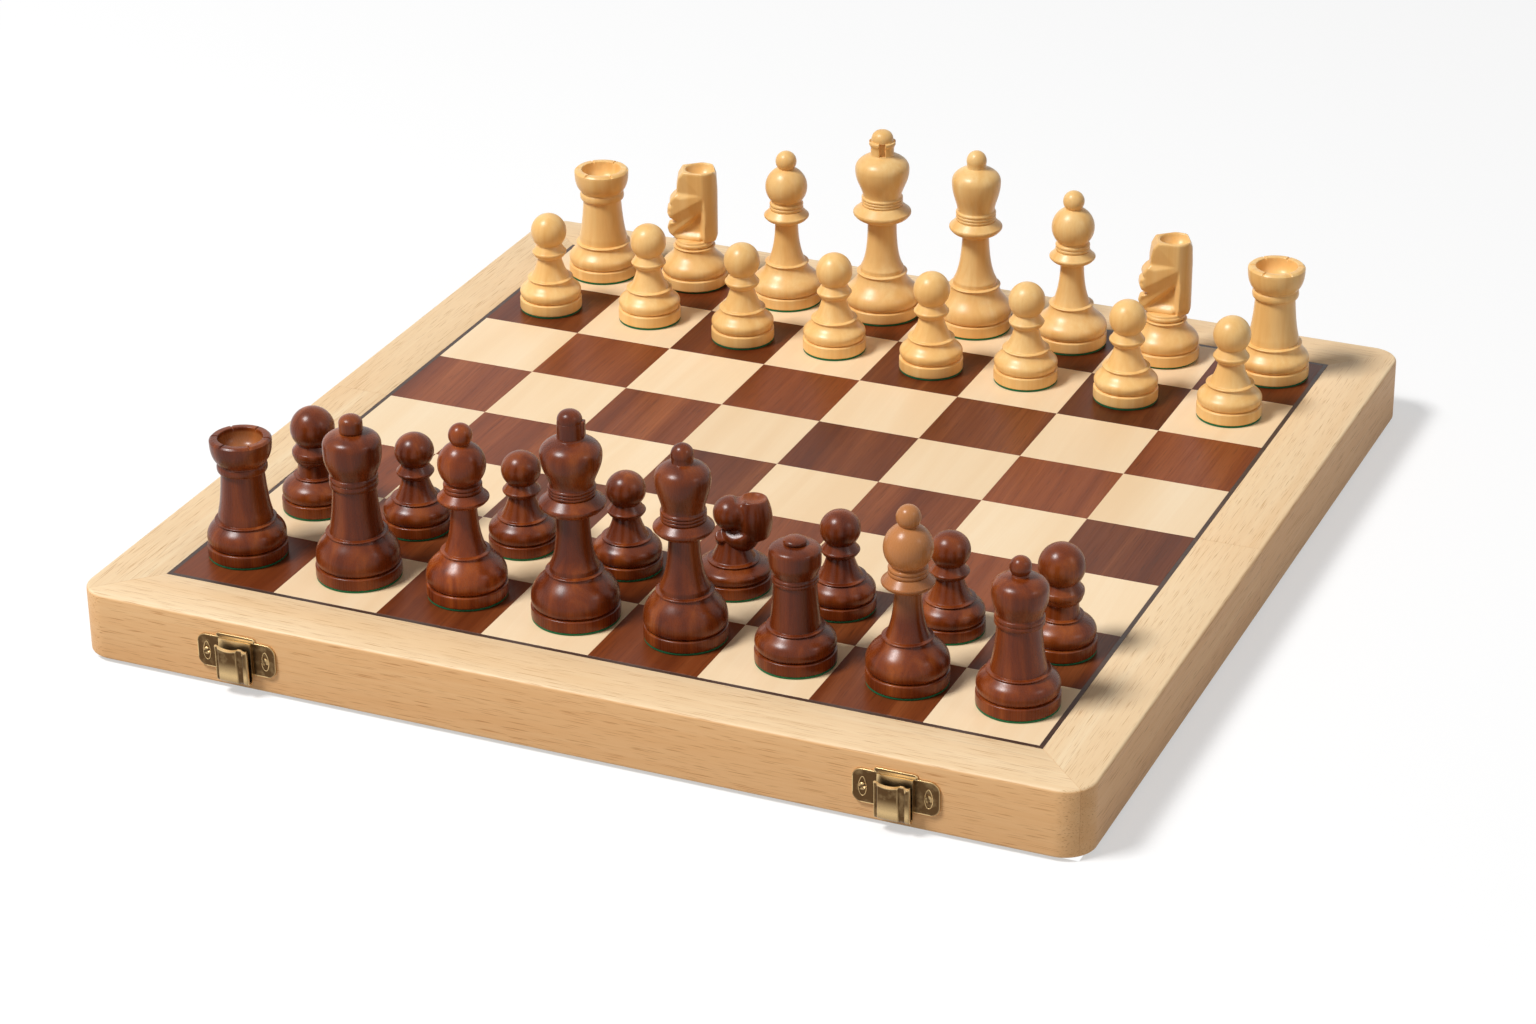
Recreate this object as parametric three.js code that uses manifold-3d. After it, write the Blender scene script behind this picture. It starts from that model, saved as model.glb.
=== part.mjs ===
// Folding chess board in two hinged halves, with 32 turned wooden men set up for a game.
//
// Millimetres, +Z up. The board lies open: the fold runs along X through the origin, the near half
// with the dark men is at -Y, the far half with the light men at +Y. The undersides are storage trays,
// and the near half swings down and under the far one until the two rims meet.

import * as THREE from 'three';
import { mergeVertices } from 'three/addons/utils/BufferGeometryUtils.js';
import Module from 'manifold-3d';

const wasm = await Module();
wasm.setup();

// ---------------------------------------------------------------- driving dimensions

// Playing field
const SQUARE = 50;
const SQUARES = 8;
const STRINGING = 2;
const PANEL_THICKNESS = 5;

// Rails of each half
const RAIL_BAND = 29;
const RAIL_HEIGHT = 31;
const RAIL_WALL = 15;
const CORNER_RADIUS = 14;
const EDGE_ROUND = 1.4;
const LEDGE_WIDTH = 6;
const LEDGE_THICKNESS = 5;
const SEAM_RAIL_THICKNESS = 12;
const LINING_THICKNESS = 1;

// Butt hinges under the fold
const HINGE_X = 120;
const HINGE_WIDTH = 30;
const LEAF_REACH = 9.5;
const LEAF_THICKNESS = 1;
const KNUCKLE_RADIUS = 1.4;
const KNUCKLE_BORE = 0.8;
const HINGE_PIN_RADIUS = 0.5;
const MIDDLE_KNUCKLE = 9.6;

// Latches: a hook plate on the near half, a lever with a wire loop on the far half.
// Heights are above the rim, reaches are out from the face of the rail.
const LATCH_X = 151;
const LATCH_REACH = 7;
const PLATE_WIDTH = 38;
const PLATE_HEIGHT = 15.5;
const PLATE_CORNER = 4.5;
const PLATE_THICKNESS = 1;
const HOOK_PLATE_FOOT = 8;
const HOOK_WIDTH = 15;
const HOOK_SHEET = 1.1;
const HOOK_FRONT = 1.7;
const HOOK_MOUTH = 2.6;
const HOOK_BEND_HEIGHT = 6.2;
const HOOK_LIP_HEIGHT = 21;
const HOOK_LIP_FLARE = 3.5;
const HOOK_RECESS = 0.7;
const HOOK_PANEL = [-2.2, 6.1];
const HOOK_COLUMN = [-6.4, -3.9];
const TAB_WIDTH = 20;
const TAB_HEIGHT = 3;
const TAB_RISE = 1.8;
const BASE_PLATE_FOOT = 2;
const LEVER_PIVOT_HEIGHT = 5;
const LOOP_PIVOT_RISE = 6;
const LEVER_WIDTH = 13;
const LEVER_LENGTH = 19.5;
const LEVER_BOSS = 1.9;
const LEVER_SHEET = 1.1;
const LEVER_TIP_CURL = 4.5;
const PIVOT_PIN_RADIUS = 0.7;
const EAR_THICKNESS = 1;
const EAR_RADIUS = 2.2;
const WIRE_RADIUS = 0.8;
const WIRE_CORNER = 1.8;
const WIRE_STUB = 3;
const ROD_SIDES = 8;

// Clearances
const FOLD_GAP = 0.3;
const RAIL_JOINT = 0.2;
const INLAY_GAP = 0.1;
const SEAT = 0.1;
const RUNNING_GAP = 0.3;
const SIDE_GAP = 0.4;
const LOOP_SIDE_GAP = 1.1;

// How far a cutter runs past what it cuts, and how deep one joined part is set into the next.
const OVERRUN = 1;
const WELD = 0.1;

// Turned men. Every man stands on a foot with a band, a groove and a bell.
const BAND_HEIGHT = 4.4;
const GROOVE = 0.6;
const SHOULDER_SPREAD = 1;
const CROWN_FULLNESS = 0.7;
const CAP_FULLNESS = 0.8;
const LATHE_SIDES = 12;

const PAWN = {
  foot: { radius: 15.4, bell: 15.2, shoulder: 12, ledge: 12.5, height: 15 },
  stem: { lip: 0, hollow: 7.8, low: 4.5, radius: 5.9, height: 10.5 },
  collar: { flare: 2.8, radius: 8.5, rim: 2, slope: 3, neck: 6 },
  headRadius: 8.8,
};
const COLLARED_PAWN = {
  foot: { radius: 15.6, bell: 15.2, shoulder: 12.5, ledge: 9.3, height: 16.5 },
  stem: { lip: 0, hollow: 7.6, low: 3, radius: 7.5, height: 6.5 },
  collar: { flare: 3, radius: 9.8, rim: 3, slope: 3, neck: 7.2 },
  headRadius: 10,
};
const ROOK = {
  foot: { radius: 17.6, bell: 17.4, shoulder: 14.5, ledge: 13.2, height: 17 },
  stem: { lip: 3, hollow: 10.3, low: 6, radius: 9.5, height: 20.5 },
  ring: { radius: 11.1, height: 3.5, groove: 0.8 },
  cup: { radius: 13.6, height: 10.2, rim: 1.2, bore: 9.4, depth: 7, notch: 1.2, notches: 6 },
};
const BISHOP = {
  foot: { radius: 17.6, bell: 17.6, shoulder: 16, ledge: 10.6, height: 21 },
  stem: { lip: 0, hollow: 7.4, low: 7.5, radius: 6.2, height: 19.5 },
  collar: { flare: 4.5, radius: 11.2, rim: 1.3, slope: 2.2, neck: 8.4 },
  ring: { radius: 8.4, height: 3.6 },
  headNeck: 7,
  headRadius: 10.4,
  knobNeck: 3.8,
  knobRadius: 5.2,
};
const QUEEN = {
  foot: { radius: 18, bell: 18, shoulder: 16.5, ledge: 12, height: 22 },
  stem: { lip: 2, hollow: 7, low: 6, radius: 6.5, height: 21.5 },
  collar: { flare: 5.5, radius: 13, rim: 2, slope: 2, neck: 9.7 },
  ring: { radius: 9.6, height: 4.6, groove: 0.6 },
  crown: { hollow: 8.6, low: 5, radius: 11.9, height: 14, shoulder: 11.8, dome: 7 },
  finial: { radius: 4.7, height: 2, ball: 4.9 },
};
const KING = {
  foot: { radius: 19.2, bell: 19, shoulder: 16.5, ledge: 12, height: 22 },
  stem: { lip: 2, hollow: 7.6, low: 6, radius: 7.2, height: 22.5 },
  collar: { flare: 5.5, radius: 14.3, rim: 3, slope: 2.5, neck: 10.2 },
  ring: { radius: 10, height: 4.3, groove: 0.6 },
  crown: { hollow: 9.4, low: 5, radius: 13.3, height: 13.5, shoulder: 12.8, dome: 8.5 },
  finial: { stub: 5.5, height: 4.8, flare: 6.5, rim: 2.2, core: 2.4, slot: 3.4, button: 4.8, rise: 4.4 },
};
const TALL_CAPPED_MAN = {
  foot: { radius: 18.8, bell: 18.4, shoulder: 17, ledge: 13.1, height: 21 },
  stem: { lip: 1, hollow: 10, low: 8, radius: 9.6, height: 21 },
  ring: { radius: 10.6, height: 5, groove: 0.8 },
  cap: { radius: 12.7, height: 11, rim: 2.5, dome: 6, shoulder: 11.8 },
  knob: { radius: 5.2, height: 4, crown: 3.5 },
};
const SHORT_CAPPED_MAN = {
  foot: { radius: 17.6, bell: 17.4, shoulder: 13.5, ledge: 13, height: 16 },
  stem: { lip: 1, hollow: 9.8, low: 8, radius: 9.3, height: 20 },
  ring: { radius: 10.4, height: 4, groove: 0.8 },
  cap: { radius: 11.8, height: 9.5, rim: 1.5, dome: 6, shoulder: 9.5 },
  knob: { radius: 4.3, height: 4, crown: 4.3 },
};
const FLAT_CAPPED_MAN = {
  foot: { radius: 17.4, bell: 17.2, shoulder: 14, ledge: 12, height: 16.5 },
  stem: { lip: 1, hollow: 9.6, low: 8, radius: 9, height: 19.5 },
  ring: { radius: 9.8, height: 3, groove: 0.8 },
  cap: { radius: 11, height: 6.2, rim: 4, dome: 3.6, shoulder: 10.8 },
  knob: { radius: 5, height: 0.8, crown: 1.6 },
};
const LIGHT_KNIGHT = {
  foot: { radius: 17, bell: 16.6, shoulder: 16, ledge: 10.1, height: 20 },
  ring: { radius: 9.8, height: 2.5 },
  thickness: 18,
  crater: { width: 15, breadth: 12, depth: 2.6 },
  throatDepth: 2.8,
  tenon: 0.4,
};
const DARK_KNIGHT = {
  foot: { radius: 16.5, bell: 16.2, shoulder: 12, ledge: 11, height: 13.5 },
  neck: { radius: 8, height: 10 },
  lobe: { radius: 8, x: -1.5, z: 36.8 },
  boss: { radius: 3.6, end: -7.8, y: -1.5, z: 23 },
  block: { middle: 9.5, width: 18.6, thickness: 14 },
  crater: { width: 10, breadth: 8, depth: 1.8 },
};
const KNIGHT_TURN = 24;

// Where each man stands: file, rank, and how far off the middle of its square it was put down,
// to the right and away. Rank 8 is nearest, and file h is on the left.
const SET_UP = [
  ['rook', 'h', 8, -4, 4],
  ['tall_capped_man', 'g', 8, 1, 4.5],
  ['bishop', 'f', 8, 3, 6],
  ['king', 'e', 8, 5, 5.5],
  ['queen', 'd', 8, 6, 6],
  ['flat_capped_man', 'c', 8, 7, 4],
  ['bishop', 'b', 8, 6.5, 5],
  ['short_capped_man', 'a', 8, 5, 4.5],
  ['collared_pawn', 'h', 7, 1.5, 6],
  ['pawn', 'g', 7, 3, 5],
  ['pawn', 'f', 7, 5, 6],
  ['pawn', 'e', 7, 6, 5],
  ['knight', 'd', 7, 6, 6],
  ['pawn', 'c', 7, 6, 5],
  ['pawn', 'b', 7, 6, 4],
  ['collared_pawn', 'a', 7, 5, 5],
  ['pawn', 'h', 2, -1, -1],
  ['pawn', 'g', 2, 0.5, 5],
  ['pawn', 'f', 2, 3, 0],
  ['pawn', 'e', 2, -0.5, 5],
  ['pawn', 'd', 2, 1.5, 1],
  ['pawn', 'c', 2, -2, 6],
  ['pawn', 'b', 2, -1, 4],
  ['pawn', 'a', 2, 0, 4],
  ['rook', 'h', 1, 4, 0],
  ['knight', 'g', 1, 2, 6],
  ['bishop', 'f', 1, 4, 3],
  ['king', 'e', 1, 4, 5.8],
  ['queen', 'd', 1, 3, 6],
  ['bishop', 'c', 1, 3, 6],
  ['knight', 'b', 1, 0.5, 7],
  ['rook', 'a', 1, 5, 6],
];

// ---------------------------------------------------------------- places worked out from them

const FIELD = (SQUARE * SQUARES) / 2;
const INNER = FIELD + STRINGING;
const OUTER = INNER + RAIL_BAND;
const HALF_GAP = FOLD_GAP / 2;
const FOLD_AXIS = KNUCKLE_RADIUS;
const RIM = FOLD_AXIS + HALF_GAP;
const TOP = RIM + RAIL_HEIGHT;
const LEDGE_TOP = TOP - PANEL_THICKNESS;
const LEDGE_FOOT = LEDGE_TOP - LEDGE_THICKNESS;
const LEDGE_EDGE = INNER - LEDGE_WIDTH;
const TRAY_SIDE = OUTER - RAIL_WALL;
const LATCH_LINE = SEAT + PLATE_THICKNESS - WELD + HOOK_SHEET + HOOK_MOUTH / 2;
const LOOP_PIVOT_HEIGHT = LEVER_PIVOT_HEIGHT + LOOP_PIVOT_RISE;
const LOOP_LENGTH = LOOP_PIVOT_HEIGHT + HOOK_BEND_HEIGHT + FOLD_GAP;
const LOOP_HALF_WIDTH = HOOK_WIDTH / 2 + LOOP_SIDE_GAP + WIRE_RADIUS;
const ROUND_STEPS = 10;

// ---------------------------------------------------------------- materials

const wood = (color, roughness) => new THREE.MeshStandardMaterial({ color, roughness, metalness: 0 });
const brass = (color) => new THREE.MeshStandardMaterial({ color, roughness: 0.35, metalness: 0.9 });
const OAK = wood('#c8995f', 0.55);
const VENEER = wood('#d9b582', 0.4);
const INK_LINE = wood('#3a2017', 0.5);
const BOXWOOD = wood('#dca55c', 0.35);
const ROSEWOOD = wood('#5a2117', 0.25);
const BAIZE = wood('#1f6b3a', 0.95);
const ANTIQUE_BRASS = brass('#8a6a35');

// ---------------------------------------------------------------- solids

function solid(geometry) {
  const bare = geometry.index ? geometry.toNonIndexed() : geometry.clone();
  bare.deleteAttribute('normal');
  bare.deleteAttribute('uv');
  const merged = mergeVertices(bare, 1e-4);
  return new wasm.Manifold(new wasm.Mesh({
    numProp: 3,
    vertProperties: new Float32Array(merged.attributes.position.array),
    triVerts: new Uint32Array(merged.index.array),
  }));
}

function geometryOf(manifold) {
  const { vertProperties, triVerts } = manifold.getMesh();
  const geometry = new THREE.BufferGeometry();
  geometry.setAttribute('position', new THREE.BufferAttribute(vertProperties, 3));
  geometry.setIndex(new THREE.BufferAttribute(triVerts, 1));
  geometry.computeVertexNormals();
  return geometry;
}

function join(first, ...others) {
  return others.reduce((whole, other) => whole.add(other), first);
}

function cut(first, ...others) {
  return others.reduce((whole, other) => whole.subtract(other), first);
}

function outlineShape(points) {
  return new THREE.Shape(points.map(([x, y]) => new THREE.Vector2(x, y)));
}

function extruded(shape, depth, curveSegments = 4) {
  return new THREE.ExtrudeGeometry(shape, { depth, bevelEnabled: false, curveSegments });
}

// A plan outline in X and Y, standing from z0 to z1.
function alongZ(shape, z0, z1) {
  return solid(extruded(shape, z1 - z0).translate(0, 0, z0));
}

// A section in Y and Z, running from x0 to x1.
function alongX(shape, x0, x1, curveSegments = 4) {
  const turn = new THREE.Matrix4().makeBasis(
    new THREE.Vector3(0, 1, 0),
    new THREE.Vector3(0, 0, 1),
    new THREE.Vector3(1, 0, 0),
  );
  return solid(extruded(shape, x1 - x0, curveSegments).applyMatrix4(turn).translate(x0, 0, 0));
}

// A section in X and Z, running from y0 to y1.
function alongY(shape, y0, y1, curveSegments = 4) {
  return solid(extruded(shape, y1 - y0, curveSegments).rotateX(Math.PI / 2).translate(0, y1, 0));
}

function block(x0, x1, y0, y1, z0, z1) {
  const box = new THREE.BoxGeometry(x1 - x0, y1 - y0, z1 - z0);
  return solid(box.translate((x0 + x1) / 2, (y0 + y1) / 2, (z0 + z1) / 2));
}

function rodAlongX(radius, x0, x1, y, z, sides = ROD_SIDES) {
  const rod = new THREE.CylinderGeometry(radius, radius, x1 - x0, sides);
  return solid(rod.rotateZ(Math.PI / 2).translate((x0 + x1) / 2, y, z));
}

function ellipsoid(rx, ry, rz, x, y, z) {
  const ball = new THREE.SphereGeometry(1, ROUND_STEPS, ROUND_STEPS / 2).rotateX(Math.PI / 2);
  return solid(ball.scale(rx, ry, rz).translate(x, y, z));
}

function roundedRectangle(x0, x1, y0, y1, radius) {
  const shape = new THREE.Shape();
  shape.moveTo(x0 + radius, y0);
  shape.lineTo(x1 - radius, y0);
  shape.absarc(x1 - radius, y0 + radius, radius, -Math.PI / 2, 0);
  shape.lineTo(x1, y1 - radius);
  shape.absarc(x1 - radius, y1 - radius, radius, 0, Math.PI / 2);
  shape.lineTo(x0 + radius, y1);
  shape.absarc(x0 + radius, y1 - radius, radius, Math.PI / 2, Math.PI);
  shape.lineTo(x0, y0 + radius);
  shape.absarc(x0 + radius, y0 + radius, radius, Math.PI, 1.5 * Math.PI);
  return shape;
}

function mesh(name, shape, material) {
  const made = new THREE.Mesh(shape.isBufferGeometry ? shape : geometryOf(shape), material);
  made.name = name;
  return made;
}

// ---------------------------------------------------------------- board
// Each half is drawn as the far one, with its outer rail at +Y; the near half is the same, turned round.

function boardEnvelope() {
  const inset = OUTER - EDGE_ROUND;
  const shape = roundedRectangle(-inset, inset, -inset, inset, CORNER_RADIUS - EDGE_ROUND);
  const geometry = new THREE.ExtrudeGeometry(shape, {
    depth: RAIL_HEIGHT - 2 * EDGE_ROUND,
    bevelThickness: EDGE_ROUND,
    bevelSize: EDGE_ROUND,
    bevelSegments: 2,
    curveSegments: 4,
  });
  return solid(geometry.translate(0, 0, RIM + EDGE_ROUND));
}

// Section of a rail: distance in from the centre of the board, and height.
function railSection(side) {
  return outlineShape([
    [side * OUTER, RIM],
    [side * TRAY_SIDE, RIM],
    [side * TRAY_SIDE, LEDGE_FOOT],
    [side * LEDGE_EDGE, LEDGE_FOOT],
    [side * LEDGE_EDGE, LEDGE_TOP],
    [side * INNER, LEDGE_TOP],
    [side * INNER, TOP],
    [side * OUTER, TOP],
  ]);
}

function outerRail(envelope) {
  const back = RAIL_JOINT / Math.SQRT2;
  const far = OUTER + OVERRUN;
  const near = LEDGE_EDGE - OVERRUN;
  const mitred = outlineShape([
    [-far + back, far],
    [-near + back, near],
    [near - back, near],
    [far - back, far],
  ]);
  const whole = alongX(railSection(1), -OUTER, OUTER);
  return whole.intersect(alongZ(mitred, RIM, TOP)).intersect(envelope);
}

function sideRail(side, envelope) {
  const back = RAIL_JOINT / Math.SQRT2;
  const far = OUTER + OVERRUN;
  const near = LEDGE_EDGE - OVERRUN;
  const mitred = outlineShape([
    [side * far, HALF_GAP],
    [side * far, far - back],
    [side * near, near - back],
    [side * near, HALF_GAP],
  ]);
  const whole = alongY(railSection(side), HALF_GAP, OUTER);
  return whole.intersect(alongZ(mitred, RIM, TOP)).intersect(envelope);
}

// The rail along the fold, butted between the side rails under their ledges, with a mortise for each hinge.
function seamRail() {
  const wide = TRAY_SIDE - RAIL_JOINT;
  const narrow = LEDGE_EDGE - RAIL_JOINT;
  const section = outlineShape([
    [-wide, RIM],
    [wide, RIM],
    [wide, LEDGE_FOOT - RAIL_JOINT],
    [narrow, LEDGE_FOOT - RAIL_JOINT],
    [narrow, LEDGE_TOP],
    [-narrow, LEDGE_TOP],
    [-narrow, LEDGE_FOOT - RAIL_JOINT],
    [-wide, LEDGE_FOOT - RAIL_JOINT],
  ]);
  const rail = alongY(section, HALF_GAP, HALF_GAP + SEAM_RAIL_THICKNESS);
  const mortises = [-HINGE_X, HINGE_X].flatMap((x) => {
    const end = HINGE_WIDTH / 2 + RUNNING_GAP;
    const leaf = block(x - end, x + end, 0, LEAF_REACH + RUNNING_GAP, 0, RIM + LEAF_THICKNESS + SEAT);
    const notch = KNUCKLE_RADIUS + RUNNING_GAP;
    const knuckle = block(x - end, x + end, 0, notch, 0, FOLD_AXIS + notch);
    return [leaf, knuckle];
  });
  return cut(rail, ...mortises);
}

function playingPanel() {
  return block(-FIELD, FIELD, HALF_GAP, FIELD, LEDGE_TOP + SEAT, TOP);
}

// Dark strip let in round three sides of the panel, between it and the rails.
function stringingStrip() {
  const inside = FIELD + INLAY_GAP;
  const outside = INNER - INLAY_GAP;
  const shape = outlineShape([
    [-outside, HALF_GAP],
    [-outside, outside],
    [outside, outside],
    [outside, HALF_GAP],
    [inside, HALF_GAP],
    [inside, inside],
    [-inside, inside],
    [-inside, HALF_GAP],
  ]);
  return alongZ(shape, LEDGE_TOP + SEAT, TOP);
}

function trayLining() {
  const side = LEDGE_EDGE - RUNNING_GAP;
  const seam = HALF_GAP + SEAM_RAIL_THICKNESS + RUNNING_GAP;
  return block(-side, side, seam, side, LEDGE_TOP - LINING_THICKNESS, LEDGE_TOP);
}

// ---------------------------------------------------------------- hinges

function hingeLeaf(x, spans) {
  const inner = KNUCKLE_RADIUS + RUNNING_GAP;
  const half = HINGE_WIDTH / 2;
  const plate = block(x - half, x + half, inner, LEAF_REACH, RIM, RIM + LEAF_THICKNESS);
  const webStart = KNUCKLE_BORE + WELD;
  const parts = spans.flatMap(([from, to]) => [
    rodAlongX(KNUCKLE_RADIUS, x + from, x + to, 0, FOLD_AXIS),
    block(x + from, x + to, webStart, inner + WELD, RIM, RIM + LEAF_THICKNESS),
  ]);
  const bore = rodAlongX(KNUCKLE_BORE, x - half - OVERRUN, x + half + OVERRUN, 0, FOLD_AXIS);
  return join(plate, ...parts).subtract(bore);
}

function hingePin(x) {
  const half = HINGE_WIDTH / 2;
  return rodAlongX(HINGE_PIN_RADIUS, x - half, x + half, 0, FOLD_AXIS);
}

const MIDDLE_SPAN = [[-MIDDLE_KNUCKLE / 2, MIDDLE_KNUCKLE / 2]];
const OUTER_SPANS = [
  [-HINGE_WIDTH / 2, -MIDDLE_KNUCKLE / 2 - RUNNING_GAP],
  [MIDDLE_KNUCKLE / 2 + RUNNING_GAP, HINGE_WIDTH / 2],
];

// ---------------------------------------------------------------- latches
// Drawn round x = 0 with the face of the rail at y = 0 and the rim at z = 0, then put in their places.

function facePlate(foot) {
  const half = PLATE_WIDTH / 2;
  const shape = roundedRectangle(-half, half, foot, foot + PLATE_HEIGHT, PLATE_CORNER);
  return alongY(shape, SEAT, SEAT + PLATE_THICKNESS, 3);
}

// A strap bent into a J, with its mouth away from the rim and a flared lip. Its front is pressed
// into a broad panel and a narrow column, with the sheet set back beside and between them.
function hookPlate() {
  const back = LATCH_LINE - HOOK_MOUTH / 2;
  const front = LATCH_LINE + HOOK_MOUTH / 2;
  const outside = front + HOOK_FRONT;
  const tabTop = HOOK_PLATE_FOOT + PLATE_HEIGHT + TAB_RISE;
  const flareStart = HOOK_LIP_HEIGHT - HOOK_LIP_FLARE;
  const strap = new THREE.Shape();
  strap.moveTo(back - HOOK_SHEET, tabTop - TAB_HEIGHT);
  strap.lineTo(back - HOOK_SHEET, HOOK_BEND_HEIGHT);
  strap.absellipse(
    (back - HOOK_SHEET + outside) / 2, HOOK_BEND_HEIGHT,
    (outside - back + HOOK_SHEET) / 2, HOOK_MOUTH / 2 + HOOK_SHEET, Math.PI, 2 * Math.PI,
  );
  strap.lineTo(outside, flareStart);
  strap.lineTo(LATCH_REACH, HOOK_LIP_HEIGHT);
  strap.lineTo(LATCH_REACH - HOOK_FRONT, HOOK_LIP_HEIGHT);
  strap.lineTo(front, flareStart);
  strap.lineTo(front, HOOK_BEND_HEIGHT);
  strap.absarc(LATCH_LINE, HOOK_BEND_HEIGHT, HOOK_MOUTH / 2, 0, -Math.PI, true);
  strap.lineTo(back, tabTop - TAB_HEIGHT);
  const edge = HOOK_WIDTH / 2;
  const recess = (from, to) => block(
    from, to, outside - HOOK_RECESS, LATCH_REACH + OVERRUN, HOOK_BEND_HEIGHT / 2, tabTop,
  );
  const bent = cut(
    alongX(strap, -edge, edge),
    recess(-edge - OVERRUN, HOOK_COLUMN[0]),
    recess(HOOK_COLUMN[1], HOOK_PANEL[0]),
    recess(HOOK_PANEL[1], edge + OVERRUN),
  );
  const half = TAB_WIDTH / 2;
  return join(
    facePlate(HOOK_PLATE_FOOT),
    bent,
    block(-half, half, SEAT, back, tabTop - TAB_HEIGHT, tabTop),
  );
}

function latchBase() {
  const pivot = [LATCH_LINE, LEVER_PIVOT_HEIGHT];
  const inside = SEAT + PLATE_THICKNESS / 2;
  const ear = new THREE.Shape();
  ear.moveTo(inside, pivot[1] - EAR_RADIUS);
  ear.lineTo(pivot[0], pivot[1] - EAR_RADIUS);
  ear.absarc(...pivot, EAR_RADIUS, -Math.PI / 2, Math.PI / 2);
  ear.lineTo(inside, pivot[1] + 2 * EAR_RADIUS);
  const start = LEVER_WIDTH / 2 + SIDE_GAP;
  const end = start + EAR_THICKNESS;
  return join(
    facePlate(BASE_PLATE_FOOT),
    alongX(ear, start, end),
    alongX(ear, -end, -start),
    rodAlongX(PIVOT_PIN_RADIUS, -end + WELD, end - WELD, ...pivot),
  );
}

// Sheet lever with a boss at its own pivot and one that carries the loop; the tip curls out for a finger.
function latchLever() {
  const half = LEVER_WIDTH / 2;
  const outside = LATCH_LINE + LEVER_BOSS;
  const tip = LEVER_PIVOT_HEIGHT + LEVER_LENGTH;
  const shape = new THREE.Shape();
  shape.absarc(LATCH_LINE, LEVER_PIVOT_HEIGHT, LEVER_BOSS, Math.PI, 2 * Math.PI);
  shape.lineTo(outside, tip - LEVER_TIP_CURL);
  shape.quadraticCurveTo(outside, tip - LEVER_TIP_CURL / 2, LATCH_REACH, tip - LEVER_SHEET / 2);
  shape.lineTo(LATCH_REACH - LEVER_SHEET, tip);
  shape.quadraticCurveTo(
    outside - LEVER_SHEET, tip - LEVER_TIP_CURL / 2,
    outside - LEVER_SHEET, tip - LEVER_TIP_CURL,
  );
  shape.lineTo(outside - LEVER_SHEET, LOOP_PIVOT_HEIGHT + LEVER_BOSS);
  shape.lineTo(LATCH_LINE, LOOP_PIVOT_HEIGHT + LEVER_BOSS);
  shape.absarc(LATCH_LINE, LOOP_PIVOT_HEIGHT, LEVER_BOSS, Math.PI / 2, Math.PI);
  const clearHole = (radius, height) => rodAlongX(
    radius + RUNNING_GAP, -half - OVERRUN, half + OVERRUN, LATCH_LINE, height,
  );
  return cut(
    alongX(shape, -half, half),
    clearHole(PIVOT_PIN_RADIUS, LEVER_PIVOT_HEIGHT),
    clearHole(WIRE_RADIUS, LOOP_PIVOT_HEIGHT),
  );
}

// Wire bent into a bail: its ends turn in to the lever, and its bar drops into the hook.
function latchLoop() {
  const low = LOOP_PIVOT_HEIGHT;
  const high = LOOP_PIVOT_HEIGHT + LOOP_LENGTH;
  const half = LOOP_HALF_WIDTH;
  const end = LEVER_WIDTH / 2 - WIRE_STUB;
  const at = (x, z) => new THREE.Vector3(x, LATCH_LINE, z);
  const route = new THREE.CurvePath();
  const straight = (a, b) => route.add(new THREE.LineCurve3(a, b));
  const bend = (a, corner, b) => route.add(new THREE.QuadraticBezierCurve3(a, corner, b));
  straight(at(-end, low), at(-half + WIRE_CORNER, low));
  bend(at(-half + WIRE_CORNER, low), at(-half, low), at(-half, low + WIRE_CORNER));
  straight(at(-half, low + WIRE_CORNER), at(-half, high - WIRE_CORNER));
  bend(at(-half, high - WIRE_CORNER), at(-half, high), at(-half + WIRE_CORNER, high));
  straight(at(-half + WIRE_CORNER, high), at(half - WIRE_CORNER, high));
  bend(at(half - WIRE_CORNER, high), at(half, high), at(half, high - WIRE_CORNER));
  straight(at(half, high - WIRE_CORNER), at(half, low + WIRE_CORNER));
  bend(at(half, low + WIRE_CORNER), at(half, low), at(half - WIRE_CORNER, low));
  straight(at(half - WIRE_CORNER, low), at(end, low));
  const section = new THREE.Shape().absarc(0, 0, WIRE_RADIUS, 0, 2 * Math.PI);
  return new THREE.ExtrudeGeometry(section, { extrudePath: route, steps: 22, curveSegments: 3 });
}

// ---------------------------------------------------------------- turned men

// Outline of a turned man, drawn upwards: radius, and rise above the last point.
class Turning {
  constructor() {
    this.points = [new THREE.Vector2(0, 0)];
  }

  get last() {
    return this.points[this.points.length - 1];
  }

  to(radius, rise) {
    this.points.push(new THREE.Vector2(radius, this.last.y + rise));
    return this;
  }

  // A curve to the given radius and rise, bent towards a corner given the same way.
  curve(cornerRadius, cornerRise, radius, rise, steps = 2) {
    const start = this.last;
    const corner = new THREE.Vector2(cornerRadius, start.y + cornerRise);
    const end = new THREE.Vector2(radius, start.y + rise);
    const curve = new THREE.QuadraticBezierCurve(start, corner, end);
    this.points.push(...curve.getPoints(steps).slice(1));
    return this;
  }

  // A ball grown from the last point, up to where it has narrowed to endRadius.
  ball(radius, endRadius = 0, steps = 4) {
    const from = -Math.acos(this.last.x / radius);
    const to = Math.acos(endRadius / radius);
    const centre = this.last.y - radius * Math.sin(from);
    for (let step = 1; step <= steps; step += 1) {
      const angle = from + ((to - from) * step) / steps;
      const reach = step === steps ? endRadius : radius * Math.cos(angle);
      this.points.push(new THREE.Vector2(reach, centre + radius * Math.sin(angle)));
    }
    return this;
  }

  lathe() {
    return new THREE.LatheGeometry(this.points, LATHE_SIDES).rotateX(Math.PI / 2);
  }
}

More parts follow.
